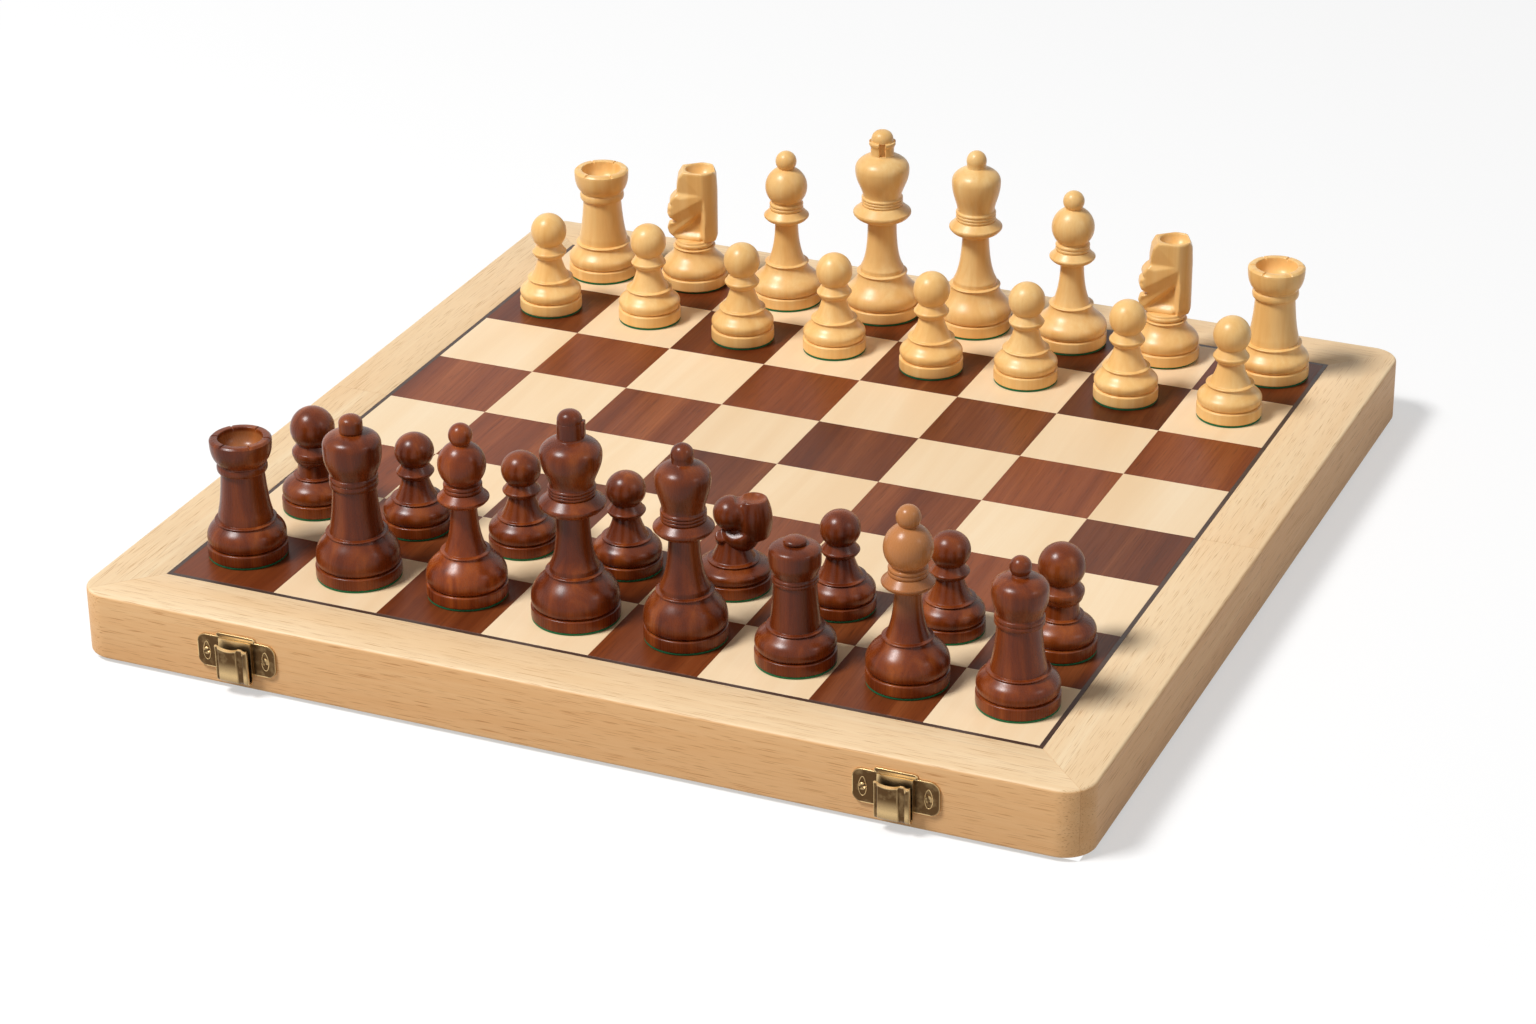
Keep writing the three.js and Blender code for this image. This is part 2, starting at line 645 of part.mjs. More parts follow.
function footed({ radius, bell, shoulder, ledge, height }) {
  const start = BAND_HEIGHT + GROOVE;
  return new Turning()
    .to(radius, 0)
    .to(radius, BAND_HEIGHT)
    .to(radius - GROOVE, GROOVE)
    .curve(bell + SHOULDER_SPREAD, shoulder - start, ledge, height - start);
}

function addStem(turning, { lip, hollow, low, radius, height }) {
  if (lip > 0) turning.to(turning.last.x, lip);
  return turning.curve(hollow, low, radius, height);
}

function addCollar(turning, { flare, radius, rim, slope, neck }) {
  return turning.to(radius, flare).to(radius, rim).to(neck, slope);
}

// A raised ring with a fine groove above it.
function addRing(turning, { radius, height, groove }) {
  return turning.to(radius, groove).to(radius, height).to(radius - groove, groove);
}

// A head that flares to its widest and closes in a dome.
function addCrown(turning, { hollow, low, radius, height, shoulder, dome }, top) {
  return turning.curve(hollow, low, radius, height).curve(shoulder, dome * CROWN_FULLNESS, top, dome, 3);
}

function pawn(size) {
  const turning = addCollar(addStem(footed(size.foot), size.stem), size.collar);
  return turning.ball(size.headRadius, 0, 3).lathe();
}

function bishop(size) {
  const turning = addCollar(addStem(footed(size.foot), size.stem), size.collar);
  return turning
    .to(size.ring.radius, size.ring.height)
    .to(size.headNeck, GROOVE)
    .ball(size.headRadius, size.knobNeck)
    .ball(size.knobRadius, 0, 2)
    .lathe();
}

function rook(size) {
  const { cup } = size;
  const turning = addRing(addStem(footed(size.foot), size.stem), size.ring);
  turning
    .curve(cup.radius, cup.height / 3, cup.radius, cup.height)
    .to(cup.radius - cup.rim, cup.rim)
    .to(cup.bore + cup.rim / 2, 0)
    .curve(cup.bore - cup.rim, 1 - cup.depth, 0, -cup.depth);
  const rim = turning.points.reduce((top, point) => Math.max(top, point.y), 0);
  const notch = cup.notch;
  const wedge = outlineShape([[-2 * notch, rim + notch], [0, rim - notch], [2 * notch, rim + notch]]);
  let whole = solid(turning.lathe());
  for (let step = 0; step < cup.notches; step += 1) {
    const turn = (step / cup.notches) * 360;
    whole = whole.subtract(alongY(wedge, cup.bore / 2, cup.radius + OVERRUN).rotate([0, 0, turn]));
  }
  return whole;
}

function queen(size) {
  const { finial } = size;
  const turning = addRing(addCollar(addStem(footed(size.foot), size.stem), size.collar), size.ring);
  return addCrown(turning, size.crown, finial.radius)
    .to(finial.radius, finial.height)
    .ball(finial.ball, 0, 3)
    .lathe();
}

// The finial is a stub with a flared ring, cut by four upright slots under a round button.
function king(size) {
  const { finial } = size;
  const turning = addRing(addCollar(addStem(footed(size.foot), size.stem), size.collar), size.ring);
  addCrown(turning, size.crown, finial.stub);
  const foot = turning.last.y;
  turning
    .to(finial.stub, finial.height)
    .to(finial.flare, finial.rim)
    .to(finial.button, GROOVE);
  const head = turning.last.y;
  turning.curve(finial.button, finial.rise, 0, finial.rise, 3);
  let whole = solid(turning.lathe());
  const half = finial.slot / 2;
  const outside = finial.flare + OVERRUN;
  const slot = outlineShape([[finial.core, 0], [outside, -half], [outside, half]]);
  for (let turn = 45; turn < 360; turn += 90) {
    whole = whole.subtract(alongZ(slot, foot + GROOVE, head).rotate([0, 0, turn]));
  }
  return whole;
}

function cappedMan({ foot, stem, ring, cap, knob }) {
  return addRing(addStem(footed(foot), stem), ring)
    .curve(cap.radius, cap.height / 2, cap.radius, cap.height)
    .to(cap.radius, cap.rim)
    .curve(cap.shoulder, cap.dome * CAP_FULLNESS, knob.radius - GROOVE, cap.dome)
    .to(knob.radius, GROOVE)
    .to(knob.radius, knob.height)
    .curve(knob.radius, knob.crown, 0, knob.crown)
    .lathe();
}

// ---------------------------------------------------------------- carved knights

// Side view of the carved horse's head, nose to the left, from the ring it stands on.
const HEAD_PROFILE = [
  [-9.8, 0], [-13.5, 5], [-14.2, 8.5], [-11, 11.5], [-13.5, 13.5], [-14.2, 17.5],
  [-13, 22.5], [-9.9, 26.5], [-8, 34.5], [-4.6, 39.7], [9.3, 39.2], [10.9, 35], [10.9, 3], [9.2, 0],
];
const HEAD_PLAN = [
  [-14.5, -4], [-6, -8.6], [5.6, -9], [11, -5], [11, 5], [5.6, 9], [-6, 8.6], [-14.5, 4],
];
// The throat is hollowed under the line of the jaw, in two fields with a rib between them.
const THROAT_FRONT = [[-9, 4], [-5, 12], [1.4, 19], [1.4, 2], [-8, 2]];
const THROAT_BACK = [[2.6, 20], [5.6, 23], [7.5, 2], [2.6, 2]];

function lightKnight({ foot, ring, thickness, crater, throatDepth, tenon }) {
  const lathe = footed(foot)
    .to(ring.radius, GROOVE)
    .to(ring.radius, ring.height)
    .to(0, 0);
  const seat = lathe.last.y;
  const top = seat + Math.max(...HEAD_PROFILE.map(([, z]) => z));
  const half = thickness / 2;
  const raised = (points, drop = 0) => outlineShape(points.map(([x, z]) => [x, seat + (z || -drop)]));
  const head = alongY(raised(HEAD_PROFILE, tenon), -half, half)
    .intersect(alongZ(outlineShape(HEAD_PLAN), seat - OVERRUN, top + OVERRUN));
  const deep = half - throatDepth;
  const throats = [THROAT_FRONT, THROAT_BACK].flatMap((field) => [
    alongY(raised(field), deep, half + OVERRUN),
    alongY(raised(field), -half - OVERRUN, -deep),
  ]);
  const hollow = ellipsoid(crater.width / 2, crater.breadth / 2, crater.depth, 0, 0, top);
  return cut(head, hollow, ...throats).add(solid(lathe.lathe()));
}

// Side view of the block behind the ball of the heavier knight.
const BLOCK_PROFILE = [
  [2, 23], [14.5, 23], [17, 28], [17.4, 34], [16, 42], [13.2, 45], [5, 45], [2, 41.3],
];

// A heavier, simpler head: a ball in front and a thick block behind it, dished on top, with a boss
// at the throat.
function darkKnight({ foot, neck, lobe, boss, block: back, crater }) {
  const turning = footed(foot)
    .curve(neck.radius, neck.height / 3, neck.radius, neck.height)
    .to(0, 0);
  const heights = BLOCK_PROFILE.map(([, z]) => z);
  const top = Math.max(...heights);
  const half = back.thickness / 2;
  const plan = new THREE.Shape().absellipse(back.middle, 0, back.width / 2, half, 0, 2 * Math.PI);
  const head = alongY(outlineShape(BLOCK_PROFILE), -half, half)
    .intersect(alongZ(plan, Math.min(...heights) - OVERRUN, top + OVERRUN));
  return join(
    head.subtract(ellipsoid(crater.width / 2, crater.breadth / 2, crater.depth, back.middle, 0, top)),
    ellipsoid(lobe.radius, lobe.radius, lobe.radius, lobe.x, 0, lobe.z),
    rodAlongX(boss.radius, boss.end, 0, boss.y, boss.z),
    solid(turning.lathe()),
  );
}

// ---------------------------------------------------------------- assembly

const MAKERS = {
  pawn: () => pawn(PAWN),
  collared_pawn: () => pawn(COLLARED_PAWN),
  rook: () => rook(ROOK),
  bishop: () => bishop(BISHOP),
  queen: () => queen(QUEEN),
  king: () => king(KING),
  tall_capped_man: () => cappedMan(TALL_CAPPED_MAN),
  short_capped_man: () => cappedMan(SHORT_CAPPED_MAN),
  flat_capped_man: () => cappedMan(FLAT_CAPPED_MAN),
};

function chessman(kind, file, rank, right, away) {
  const light = rank <= 2;
  const knight = light ? () => lightKnight(LIGHT_KNIGHT) : () => darkKnight(DARK_KNIGHT);
  const shape = kind === 'knight' ? knight() : MAKERS[kind]();
  const name = `${light ? 'light' : 'dark'}_${kind}_${file}${rank}`;
  const man = mesh(name, shape, light ? BOXWOOD : ROSEWOOD);
  const column = (SQUARES - 1) / 2 - 'abcdefgh'.indexOf(file);
  const row = (SQUARES + 1) / 2 - rank;
  man.position.set(column * SQUARE + right, row * SQUARE + away, TOP + SEAT);
  if (kind === 'knight') man.rotation.z = THREE.MathUtils.degToRad(KNIGHT_TURN);
  return man;
}

// sides names what lies at -X and +X as the half is drawn.
function boardHalf(half, outer, sides) {
  const envelope = boardEnvelope();
  const group = new THREE.Group();
  group.add(
    mesh(`${half}_${outer}_rail`, outerRail(envelope), OAK),
    mesh(`${half}_${sides[0]}_rail`, sideRail(-1, envelope), OAK),
    mesh(`${half}_${sides[1]}_rail`, sideRail(1, envelope), OAK),
    mesh(`${half}_seam_rail`, seamRail(), OAK),
    mesh(`${half}_playing_panel`, playingPanel(), VENEER),
    mesh(`${half}_stringing`, stringingStrip(), INK_LINE),
    mesh(`${half}_tray_lining`, trayLining(), BAIZE),
  );
  return group;
}

function placed(made, x) {
  made.position.set(x, OUTER, RIM);
  return made;
}

const farHalf = boardHalf('far', 'back', ['left', 'right']);
for (const [side, x] of [['left', -1], ['right', 1]]) {
  farHalf.add(
    placed(mesh(`${side}_latch_base`, latchBase(), ANTIQUE_BRASS), x * LATCH_X),
    placed(mesh(`${side}_latch_lever`, latchLever(), ANTIQUE_BRASS), x * LATCH_X),
    placed(mesh(`${side}_latch_loop`, latchLoop(), ANTIQUE_BRASS), x * LATCH_X),
    mesh(`${side}_hinge_far_leaf`, hingeLeaf(x * HINGE_X, OUTER_SPANS), ANTIQUE_BRASS),
    mesh(`${side}_hinge_pin`, hingePin(x * HINGE_X), ANTIQUE_BRASS),
  );
}

const nearHalf = boardHalf('near', 'front', ['right', 'left']);
for (const [side, x] of [['left', 1], ['right', -1]]) {
  nearHalf.add(
    placed(mesh(`${side}_hook_plate`, hookPlate(), ANTIQUE_BRASS), x * LATCH_X),
    mesh(`${side}_hinge_near_leaf`, hingeLeaf(x * HINGE_X, MIDDLE_SPAN), ANTIQUE_BRASS),
  );
}
nearHalf.rotation.z = Math.PI;

const chessSet = new THREE.Group();
chessSet.add(farHalf, nearHalf, ...SET_UP.map((place) => chessman(...place)));

export default chessSet;
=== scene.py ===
"""Looks of a folding chess board with its turned men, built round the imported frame.

Shapes are drawn in millimetres and turned into metres as each mesh is made.
"""

import math
import random

import bmesh
import bpy
import numpy as np
import openvdb
from mathutils import Matrix, Vector


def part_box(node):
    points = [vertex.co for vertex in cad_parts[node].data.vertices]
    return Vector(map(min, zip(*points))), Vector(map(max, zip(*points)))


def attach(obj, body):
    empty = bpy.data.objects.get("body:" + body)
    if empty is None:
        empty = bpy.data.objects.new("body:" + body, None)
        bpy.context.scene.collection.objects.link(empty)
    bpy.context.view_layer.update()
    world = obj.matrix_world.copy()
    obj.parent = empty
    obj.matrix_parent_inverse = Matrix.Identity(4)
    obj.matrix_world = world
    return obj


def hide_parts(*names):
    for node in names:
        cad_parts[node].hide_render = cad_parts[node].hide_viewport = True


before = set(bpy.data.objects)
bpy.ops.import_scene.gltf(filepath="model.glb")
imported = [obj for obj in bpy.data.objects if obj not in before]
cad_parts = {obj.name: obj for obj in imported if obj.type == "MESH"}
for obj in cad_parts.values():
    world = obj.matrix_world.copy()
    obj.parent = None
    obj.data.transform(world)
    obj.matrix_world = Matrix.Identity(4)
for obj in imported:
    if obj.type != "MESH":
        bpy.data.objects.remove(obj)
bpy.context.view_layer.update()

MM = 0.001
WHITE = (1.0, 1.0, 1.0, 1.0)
HALVES = ("far", "near")
PLANK = 9
random.seed(7)

# ---- camera

AZIMUTH = math.radians(23.66)
ELEVATION = math.radians(26.22)
ROLL = math.radians(-0.63)
TARGET = Vector((0.016, -0.0475, 0.03255))
DISTANCE = 1.7875
LENS = 93.75
SENSOR = 36
LEVEL = Vector((math.cos(AZIMUTH), math.sin(AZIMUTH), 0))
AHEAD = Vector((-math.sin(AZIMUTH), math.cos(AZIMUTH), 0))
UP = Vector((0, 0, 1))


def placed(name, data):
    """Puts an object in the scene."""
    made = bpy.data.objects.new(name, data)
    bpy.context.scene.collection.objects.link(made)
    return made


def make_camera():
    ahead = AHEAD * math.cos(ELEVATION) - UP * math.sin(ELEVATION)
    upright = LEVEL.cross(ahead)
    right = LEVEL * math.cos(ROLL) + upright * math.sin(ROLL)
    up = upright * math.cos(ROLL) - LEVEL * math.sin(ROLL)
    data = bpy.data.cameras.new("camera")
    data.lens = LENS
    data.sensor_width = SENSOR
    data.clip_start = 0.05
    data.clip_end = 50
    camera = placed("camera", data)
    turn = Matrix((right, up, -ahead)).transposed().to_4x4()
    camera.matrix_world = Matrix.Translation(TARGET - ahead * DISTANCE) @ turn
    bpy.context.scene.camera = camera


make_camera()

# ---- meshes


def show(name, mesh, body, slot, *nodes):
    """Puts a mesh in the scene as a piece that rides on a body."""
    piece = placed(name, mesh)
    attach(piece, body)
    if nodes:
        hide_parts(*nodes)
    return piece


def box(node):
    return [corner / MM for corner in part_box(node)]


def put(mesh, name, numbers):
    """Stores one number for each point of a mesh."""
    mesh.attributes.new(name, "FLOAT", "POINT").data.foreach_set("value", numbers)


def spot_in_plank():
    """A random place in the plank, in metres, so that pieces differ in their grain."""
    return [random.uniform(0, PLANK) for _ in range(3)]


def grained(mesh, along, tone=1.0, place=None):
    """Gives each point its place in the plank: x along the fibres, y and z across them."""
    offset = spot_in_plank()
    inverse = place.inverted() if place else Matrix.Identity(4)
    spots = np.array([inverse @ vertex.co for vertex in mesh.vertices])
    order = {"x": (0, 1, 2), "z": (2, 0, 1)}[along]
    grain = mesh.attributes.new("grain", "FLOAT_VECTOR", "POINT")
    grain.data.foreach_set("vector", (spots[:, order] + offset).ravel())
    put(mesh, "tone", np.full(len(spots), tone))
    put(mesh, "level", [abs(vertex.normal.z) for vertex in mesh.vertices])


def mesh_of(name, bm, *materials, scale=MM, place=None, sharp=40):
    """Mesh from a bmesh in millimetres. Edges sharper than so many degrees stay sharp."""
    bmesh.ops.recalc_face_normals(bm, faces=bm.faces)
    mesh = bpy.data.meshes.new(name)
    bm.to_mesh(mesh)
    bm.free()
    mesh.transform(Matrix.Scale(scale, 4))
    if place:
        mesh.transform(place)
    for material in materials:
        mesh.materials.append(material)
    mesh.shade_smooth()
    mesh.set_sharp_from_angle(angle=math.radians(sharp))
    return mesh


def arc(cx, cz, radius, start, stop, steps=10):
    """Points of an arc between two angles in degrees."""
    made = []
    for n in range(steps + 1):
        angle = math.radians(start + (stop - start) * n / steps)
        made.append((cx + radius * math.cos(angle), cz + radius * math.sin(angle)))
    return made


def bridge(bm, rings):
    """Joins each closed ring of points to the next. A ring may be a single point."""
    made = []
    for one, two in zip(rings, rings[1:]):
        sides = max(len(one), len(two))
        for n in range(sides):
            m = (n + 1) % sides
            corners = (one[n % len(one)], one[m % len(one)], two[m % len(two)], two[n % len(two)])
            made.append(bm.faces.new(list(dict.fromkeys(corners))))
    return made


def strips(bm, rows):
    """Joins each open row of points to the next."""
    for one, two in zip(rows, rows[1:]):
        for n in range(len(one) - 1):
            bm.faces.new((one[n], one[n + 1], two[n + 1], two[n]))


def shell(bm, inner, outer):
    """Joins two nets, each a list of open rows of points, into one thin body."""
    bridge(bm, [two + one[::-1] for one, two in zip(inner, outer)])
    for end in (0, -1):
        strips(bm, [inner[end], outer[end]])


def joined(bm, part):
    """Adds one bmesh to another."""
    spare = bpy.data.meshes.new("spare")
    part.to_mesh(spare)
    part.free()
    bm.from_mesh(spare)
    bpy.data.meshes.remove(spare)


def eased(bm, width, segments=2, degrees=30):
    """Rounds every edge of a bmesh that is sharper than the given angle."""
    sharp = [e for e in bm.edges if e.is_manifold and e.calc_face_angle(0) > math.radians(degrees)]
    settings = {"offset": width, "segments": segments, "profile": 0.6, "affect": "EDGES"}
    bmesh.ops.bevel(bm, geom=sharp, clamp_overlap=True, **settings)
    return bm


def block(bm, size, place, width, segments):
    """Adds a box with eased edges."""
    part = bmesh.new()
    bmesh.ops.create_cube(part, size=1)
    bmesh.ops.scale(part, verts=part.verts, vec=size)
    eased(part, width, segments)
    bmesh.ops.transform(part, matrix=place, verts=part.verts)
    joined(bm, part)


# ---- materials


class Shades:
    """Short way to write the nodes of a material or a world."""

    def __init__(self, holder):
        self.holder = holder
        holder.use_nodes = True
        self.tree = holder.node_tree
        self.tree.nodes.clear()

    def add(self, kind, inputs=(), **settings):
        """Adds a node. Each input takes an output of another node or a plain value."""
        node = self.tree.nodes.new(kind)
        for key, value in settings.items():
            setattr(node, key, value)
        for key, value in dict(inputs).items():
            if isinstance(value, bpy.types.NodeSocket):
                self.tree.links.new(value, node.inputs[key])
            else:
                node.inputs[key].default_value = value
        return node

    def attribute(self, name, output="Vector"):
        return self.add("ShaderNodeAttribute", attribute_name=name).outputs[output]

    def noise(self, place, waves, detail, rough, distortion=0.0):
        """Noise with its own number of waves per metre along each axis."""
        node = self.add("ShaderNodeVectorMath", {0: place, 1: waves}, operation="MULTIPLY")
        inputs = {"Vector": node.outputs[0], "Scale": 1.0, "Detail": detail, "Roughness": rough}
        inputs["Distortion"] = distortion
        return self.add("ShaderNodeTexNoise", inputs).outputs["Fac"]

    def ramp(self, factor, *stops):
        node = self.add("ShaderNodeValToRGB", {"Fac": factor})
        elements = node.color_ramp.elements
        while len(elements) < len(stops):
            elements.new(0.5)
        for element, (position, colour) in zip(elements, stops):
            element.position = position
            element.color = (*colour, 1.0)
        return node.outputs["Color"]

    def spread(self, value, low, high, to_low=0.0, to_high=1.0):
        inputs = {"Value": value, "From Min": low, "From Max": high, "To Min": to_low, "To Max": to_high}
        return self.add("ShaderNodeMapRange", inputs).outputs["Result"]

    def mix(self, factor, first, second, blend="MIX"):
        """Mixes two colours, each an output or red, green and blue."""
        one, two = [c if isinstance(c, bpy.types.NodeSocket) else (*c, 1.0) for c in (first, second)]
        node = self.add("ShaderNodeMix", {0: factor, 6: one, 7: two}, data_type="RGBA", blend_type=blend)
        return node.outputs[2]

    def math(self, operation, first, second):
        return self.add("ShaderNodeMath", {0: first, 1: second}, operation=operation).outputs[0]

    def bump(self, height, distance, strength=1.0):
        inputs = {"Height": height, "Distance": distance, "Strength": strength}
        return self.add("ShaderNodeBump", inputs).outputs["Normal"]

    def finish(self, colour, roughness, normal, **settings):
        inputs = {"Base Color": colour, "Roughness": roughness, "Normal": normal, **settings}
        shader = self.add("ShaderNodeBsdfPrincipled", inputs)
        self.add("ShaderNodeOutputMaterial", {"Surface": shader.outputs[0]})
        return self.holder


# Waves per metre of the layers of the grain, along the fibres and twice across them.
LOBES = 2.5
FIBRES = (22, 1300, 1300)
STREAKS = (9, 420, 420)
DASHES = (70, 2600, 2600)


def wood(
    name, tones, fibre, pore=None, rough=(0.3, 0.4), figure=90, bump=2e-5, pores=0.0, sides=None,
    sapwood=None, specular=0.5,
):
    """Wood with a broad figure, fine fibres and, in open-grained kinds, dark pores."""
    made = Shades(bpy.data.materials.new(name))
    spot = made.attribute("grain")
    tone = made.attribute("tone", "Fac")
    broad = made.noise(spot, (LOBES, figure, figure), 3.0, 0.55, 0.6)
    fine = made.noise(spot, FIBRES, 3.0, 0.6)
    streak = made.noise(spot, STREAKS, 2.0, 0.5, 0.3)
    last = len(tones) - 1
    colour = made.ramp(broad, *[(0.28 + 0.44 * n / last, c) for n, c in enumerate(tones)])
    colour = made.mix(made.spread(streak, 0.35, 0.7, 0.0, fibre), colour, tones[0])
    colour = made.mix(made.spread(fine, 0.45, 0.75, 0.0, fibre), colour, tones[0])
    height = fine
    if pore:
        dashes = made.noise(spot, DASHES, 1.0, 0.5)
        mask = made.spread(dashes, 0.60, 0.72, 0.0, pores)
        colour = made.mix(mask, colour, pore)
        height = made.math("SUBTRACT", fine, mask)
    grey = made.add("ShaderNodeCombineXYZ", {0: tone, 1: tone, 2: tone}).outputs[0]
    colour = made.mix(1.0, colour, grey, "MULTIPLY")
    if sapwood:
        share = made.spread(made.attribute("sap", "Fac"), 0.0, 1.0, 0.0, 0.85)
        colour = made.mix(share, colour, sapwood)
    if sides:
        # Painted shade: the rails' upright faces are drawn darker and warmer than their tops, standing in
        # for the lesser light that falls on them.
        upright = made.spread(made.attribute("level", "Fac"), 0.3, 0.8, 1.0, 0.0)
        colour = made.mix(upright, colour, made.mix(1.0, colour, sides, "MULTIPLY"))
    roughness = made.spread(fine, 0.3, 0.7, *rough)
    normal = made.bump(height, bump)
    return made.finish(colour, roughness, normal, **{"Specular IOR Level": specular})


# The oak's sides colour is painted shade, laid on the rails' upright faces.
OAK = wood(
    "oak", [(0.82, 0.57, 0.32), (0.87, 0.65, 0.40), (0.90, 0.71, 0.46)], 0.5, (0.56, 0.32, 0.14),
    rough=(0.42, 0.52), figure=55, pores=0.8, bump=4e-5, sides=(1.0, 0.78, 0.58), specular=0.25,
)
MAPLE = wood(
    "maple_veneer", [(0.86, 0.62, 0.37), (0.90, 0.68, 0.43), (0.93, 0.74, 0.50)], 0.2,
    rough=(0.34, 0.42), figure=40, specular=0.25,
)
WALNUT = wood(
    "walnut_veneer", [(0.11, 0.020, 0.004), (0.20, 0.046, 0.011), (0.30, 0.084, 0.024)], 0.35,
    (0.03, 0.008, 0.004), rough=(0.30, 0.40), figure=50, pores=0.5, specular=0.18,
)
STRING = wood(
    "stringing", [(0.025, 0.011, 0.007), (0.045, 0.02, 0.011), (0.07, 0.03, 0.017)], 0.3, rough=(0.4, 0.5),
)
BOXWOOD = wood(
    "boxwood", [(0.83, 0.46, 0.14), (0.90, 0.56, 0.21), (0.93, 0.64, 0.28)], 0.28,
    rough=(0.30, 0.38), figure=110, bump=1e-5, specular=0.4,
)
ROSEWOOD = wood(
    "rosewood", [(0.085, 0.013, 0.003), (0.19, 0.035, 0.005), (0.33, 0.078, 0.013)], 0.22,
    (0.05, 0.008, 0.003), rough=(0.24, 0.31), figure=95, pores=0.25, bump=1e-5,
    sapwood=(0.62, 0.26, 0.085), specular=0.28,
)


def felt():
    made = Shades(bpy.data.materials.new("baize"))
    spot = made.add("ShaderNodeTexCoord").outputs["Object"]
    fluff = made.noise(spot, (2500, 2500, 2500), 4.0, 0.7)
    patch = made.noise(spot, (60, 60, 60), 2.0, 0.5)
    colour = made.ramp(fluff, (0.3, (0.006, 0.10, 0.035)), (0.7, (0.02, 0.24, 0.09)))
    colour = made.mix(made.spread(patch, 0.3, 0.7, 0.0, 0.3), colour, (0.01, 0.13, 0.05))
    return made.finish(colour, 0.95, made.bump(fluff, 2e-4, 0.6))


BAIZE = felt()


def brass():
    """Antiqued brass: dark in the hollows, bright along the edges, which is partly rubbed wear and partly
    a painted edge highlight.
    """
    made = Shades(bpy.data.materials.new("antique_brass"))
    worn, dull, tarnish = (0.80, 0.57, 0.28), (0.10, 0.054, 0.022), (0.07, 0.04, 0.018)
    spot = made.add("ShaderNodeTexCoord").outputs["Object"]
    patch = made.noise(spot, (190, 190, 190), 4.0, 0.6)
    speck = made.noise(spot, (2200, 2200, 2200), 2.0, 0.6)
    edge = made.add("ShaderNodeNewGeometry").outputs["Pointiness"]
    # Bright edges: partly rubbed wear, partly a painted highlight along them.
    worn_and_highlit_edge = made.math("MULTIPLY", made.spread(edge, 0.508, 0.58), 0.9)
    mask = made.math("MAXIMUM", worn_and_highlit_edge, made.spread(patch, 0.5, 0.8, 0.0, 0.3))
    mask = made.math("MAXIMUM", mask, made.attribute("wear", "Fac"))
    colour = made.mix(mask, dull, worn)
    colour = made.mix(made.spread(speck, 0.55, 0.75, 0.0, 0.35), colour, tarnish)
    roughness = made.spread(patch, 0.3, 0.7, 0.28, 0.45)
    return made.finish(colour, roughness, made.bump(speck, 2e-5), Metallic=1.0)


ANTIQUE = brass()

# ---- board

rail_low, rail_high = box("far_back_rail")
panel_low, panel_high = box("far_playing_panel")
OUTER = rail_high.y
RIM = rail_low.z
TOP = rail_high.z
LEDGE_EDGE = rail_low.y
FIELD = panel_high.x
INLAY_GAP = 0.1
INNER = box("far_stringing")[1].x + INLAY_GAP
LEDGE_TOP = panel_low.z - INLAY_GAP
LEDGE_THICK = 5.0
LEDGE_FOOT = LEDGE_TOP - LEDGE_THICK
SEAM_GAP = 0.2
TRAY_SIDE = box("far_seam_rail")[1].x + SEAM_GAP
CORNER = 14.0
EDGE = 1.4
MITRE_GAP = 0.08
FOLD_GAP = 0.06
CORNER_STEPS = 12
MITRE_RUN = 8.0


def rail_outline():
    """Section of a rail: depth in from its outer face, and height."""
    ledge = OUTER - LEDGE_EDGE
    band = OUTER - INNER
    wall = OUTER - TRAY_SIDE
    small = 0.25
    return [
        *arc(EDGE, RIM + EDGE, EDGE, 270, 180, 5), *arc(EDGE, TOP - EDGE, EDGE, 180, 90, 5),
        (CORNER * 0.6, TOP), (CORNER, TOP), *arc(band - small, TOP - small, small, 90, 0, 2),
        (band, LEDGE_TOP), (ledge, LEDGE_TOP), (ledge, LEDGE_FOOT), (wall, LEDGE_FOOT),
        *arc(wall - small, RIM + small, small, 0, -90, 2),
    ]


def rail_end(depth, mitred, end):
    """Plan points of one strand of the rail from its middle to its end: along, and out."""
    out = OUTER - depth
    if not mitred:
        return [(end, out)]
    back = MITRE_GAP / math.sqrt(2)
    shares = [n / CORNER_STEPS for n in range(CORNER_STEPS + 1)]
    if depth < CORNER:
        centre = OUTER - CORNER
        corner = arc(centre, centre, CORNER - depth, 90, 45, CORNER_STEPS)
        return [(x - back * share, y) for (x, y), share in zip(corner, shares)]
    first = LEDGE_EDGE - MITRE_RUN
    return [(first + (out - back - first) * share, out) for share in shares]


def rail(low, high, place, tone):
    """A rail that runs from low to high with its outer face at +y. An end at OUTER is mitred."""
    bm = bmesh.new()
    strands = []
    for depth, height in rail_outline():
        right = rail_end(depth, high == OUTER, high)
        left = [(-x, y) for x, y in rail_end(depth, low == -OUTER, -low)]
        line = left[::-1] + right
        strands.append([bm.verts.new((x, y, height)) for x, y in line])
    strips(bm, strands + strands[:1])
    bm.faces.new([strand[0] for strand in strands])
    bm.faces.new([strand[-1] for strand in strands][::-1])
    bmesh.ops.remove_doubles(bm, verts=bm.verts, dist=1e-4)
    bmesh.ops.dissolve_degenerate(bm, edges=bm.edges, dist=1e-4)
    mesh = mesh_of("rail", bm, OAK, place=place, sharp=30)
    grained(mesh, "x", tone, place)
    return mesh


def turned(degrees):
    return Matrix.Rotation(math.radians(degrees), 4, "Z")


RAILS = {
    "far_back_rail": (-OUTER, OUTER, 0, 1.0),
    "far_left_rail": (FOLD_GAP, OUTER, 90, 0.98),
    "far_right_rail": (-OUTER, -FOLD_GAP, -90, 1.0),
    "near_front_rail": (-OUTER, OUTER, 180, 1.03),
    "near_left_rail": (-OUTER, -FOLD_GAP, 90, 0.98),
    "near_right_rail": (FOLD_GAP, OUTER, -90, 1.0),
}
for node, (low, high, degrees, tone) in RAILS.items():
    bar = rail(low, high, turned(degrees), tone)
    show(node + "_oak", bar, node.split("_")[0] + "_half", "oak_rails", node)

SQUARE = FIELD / 4
TILE_EDGE = 0.12
TILE_LEAN = 0.06
PALE_TONES = (0.97, 1.03)
DARK_TONES = (0.72, 1.28)
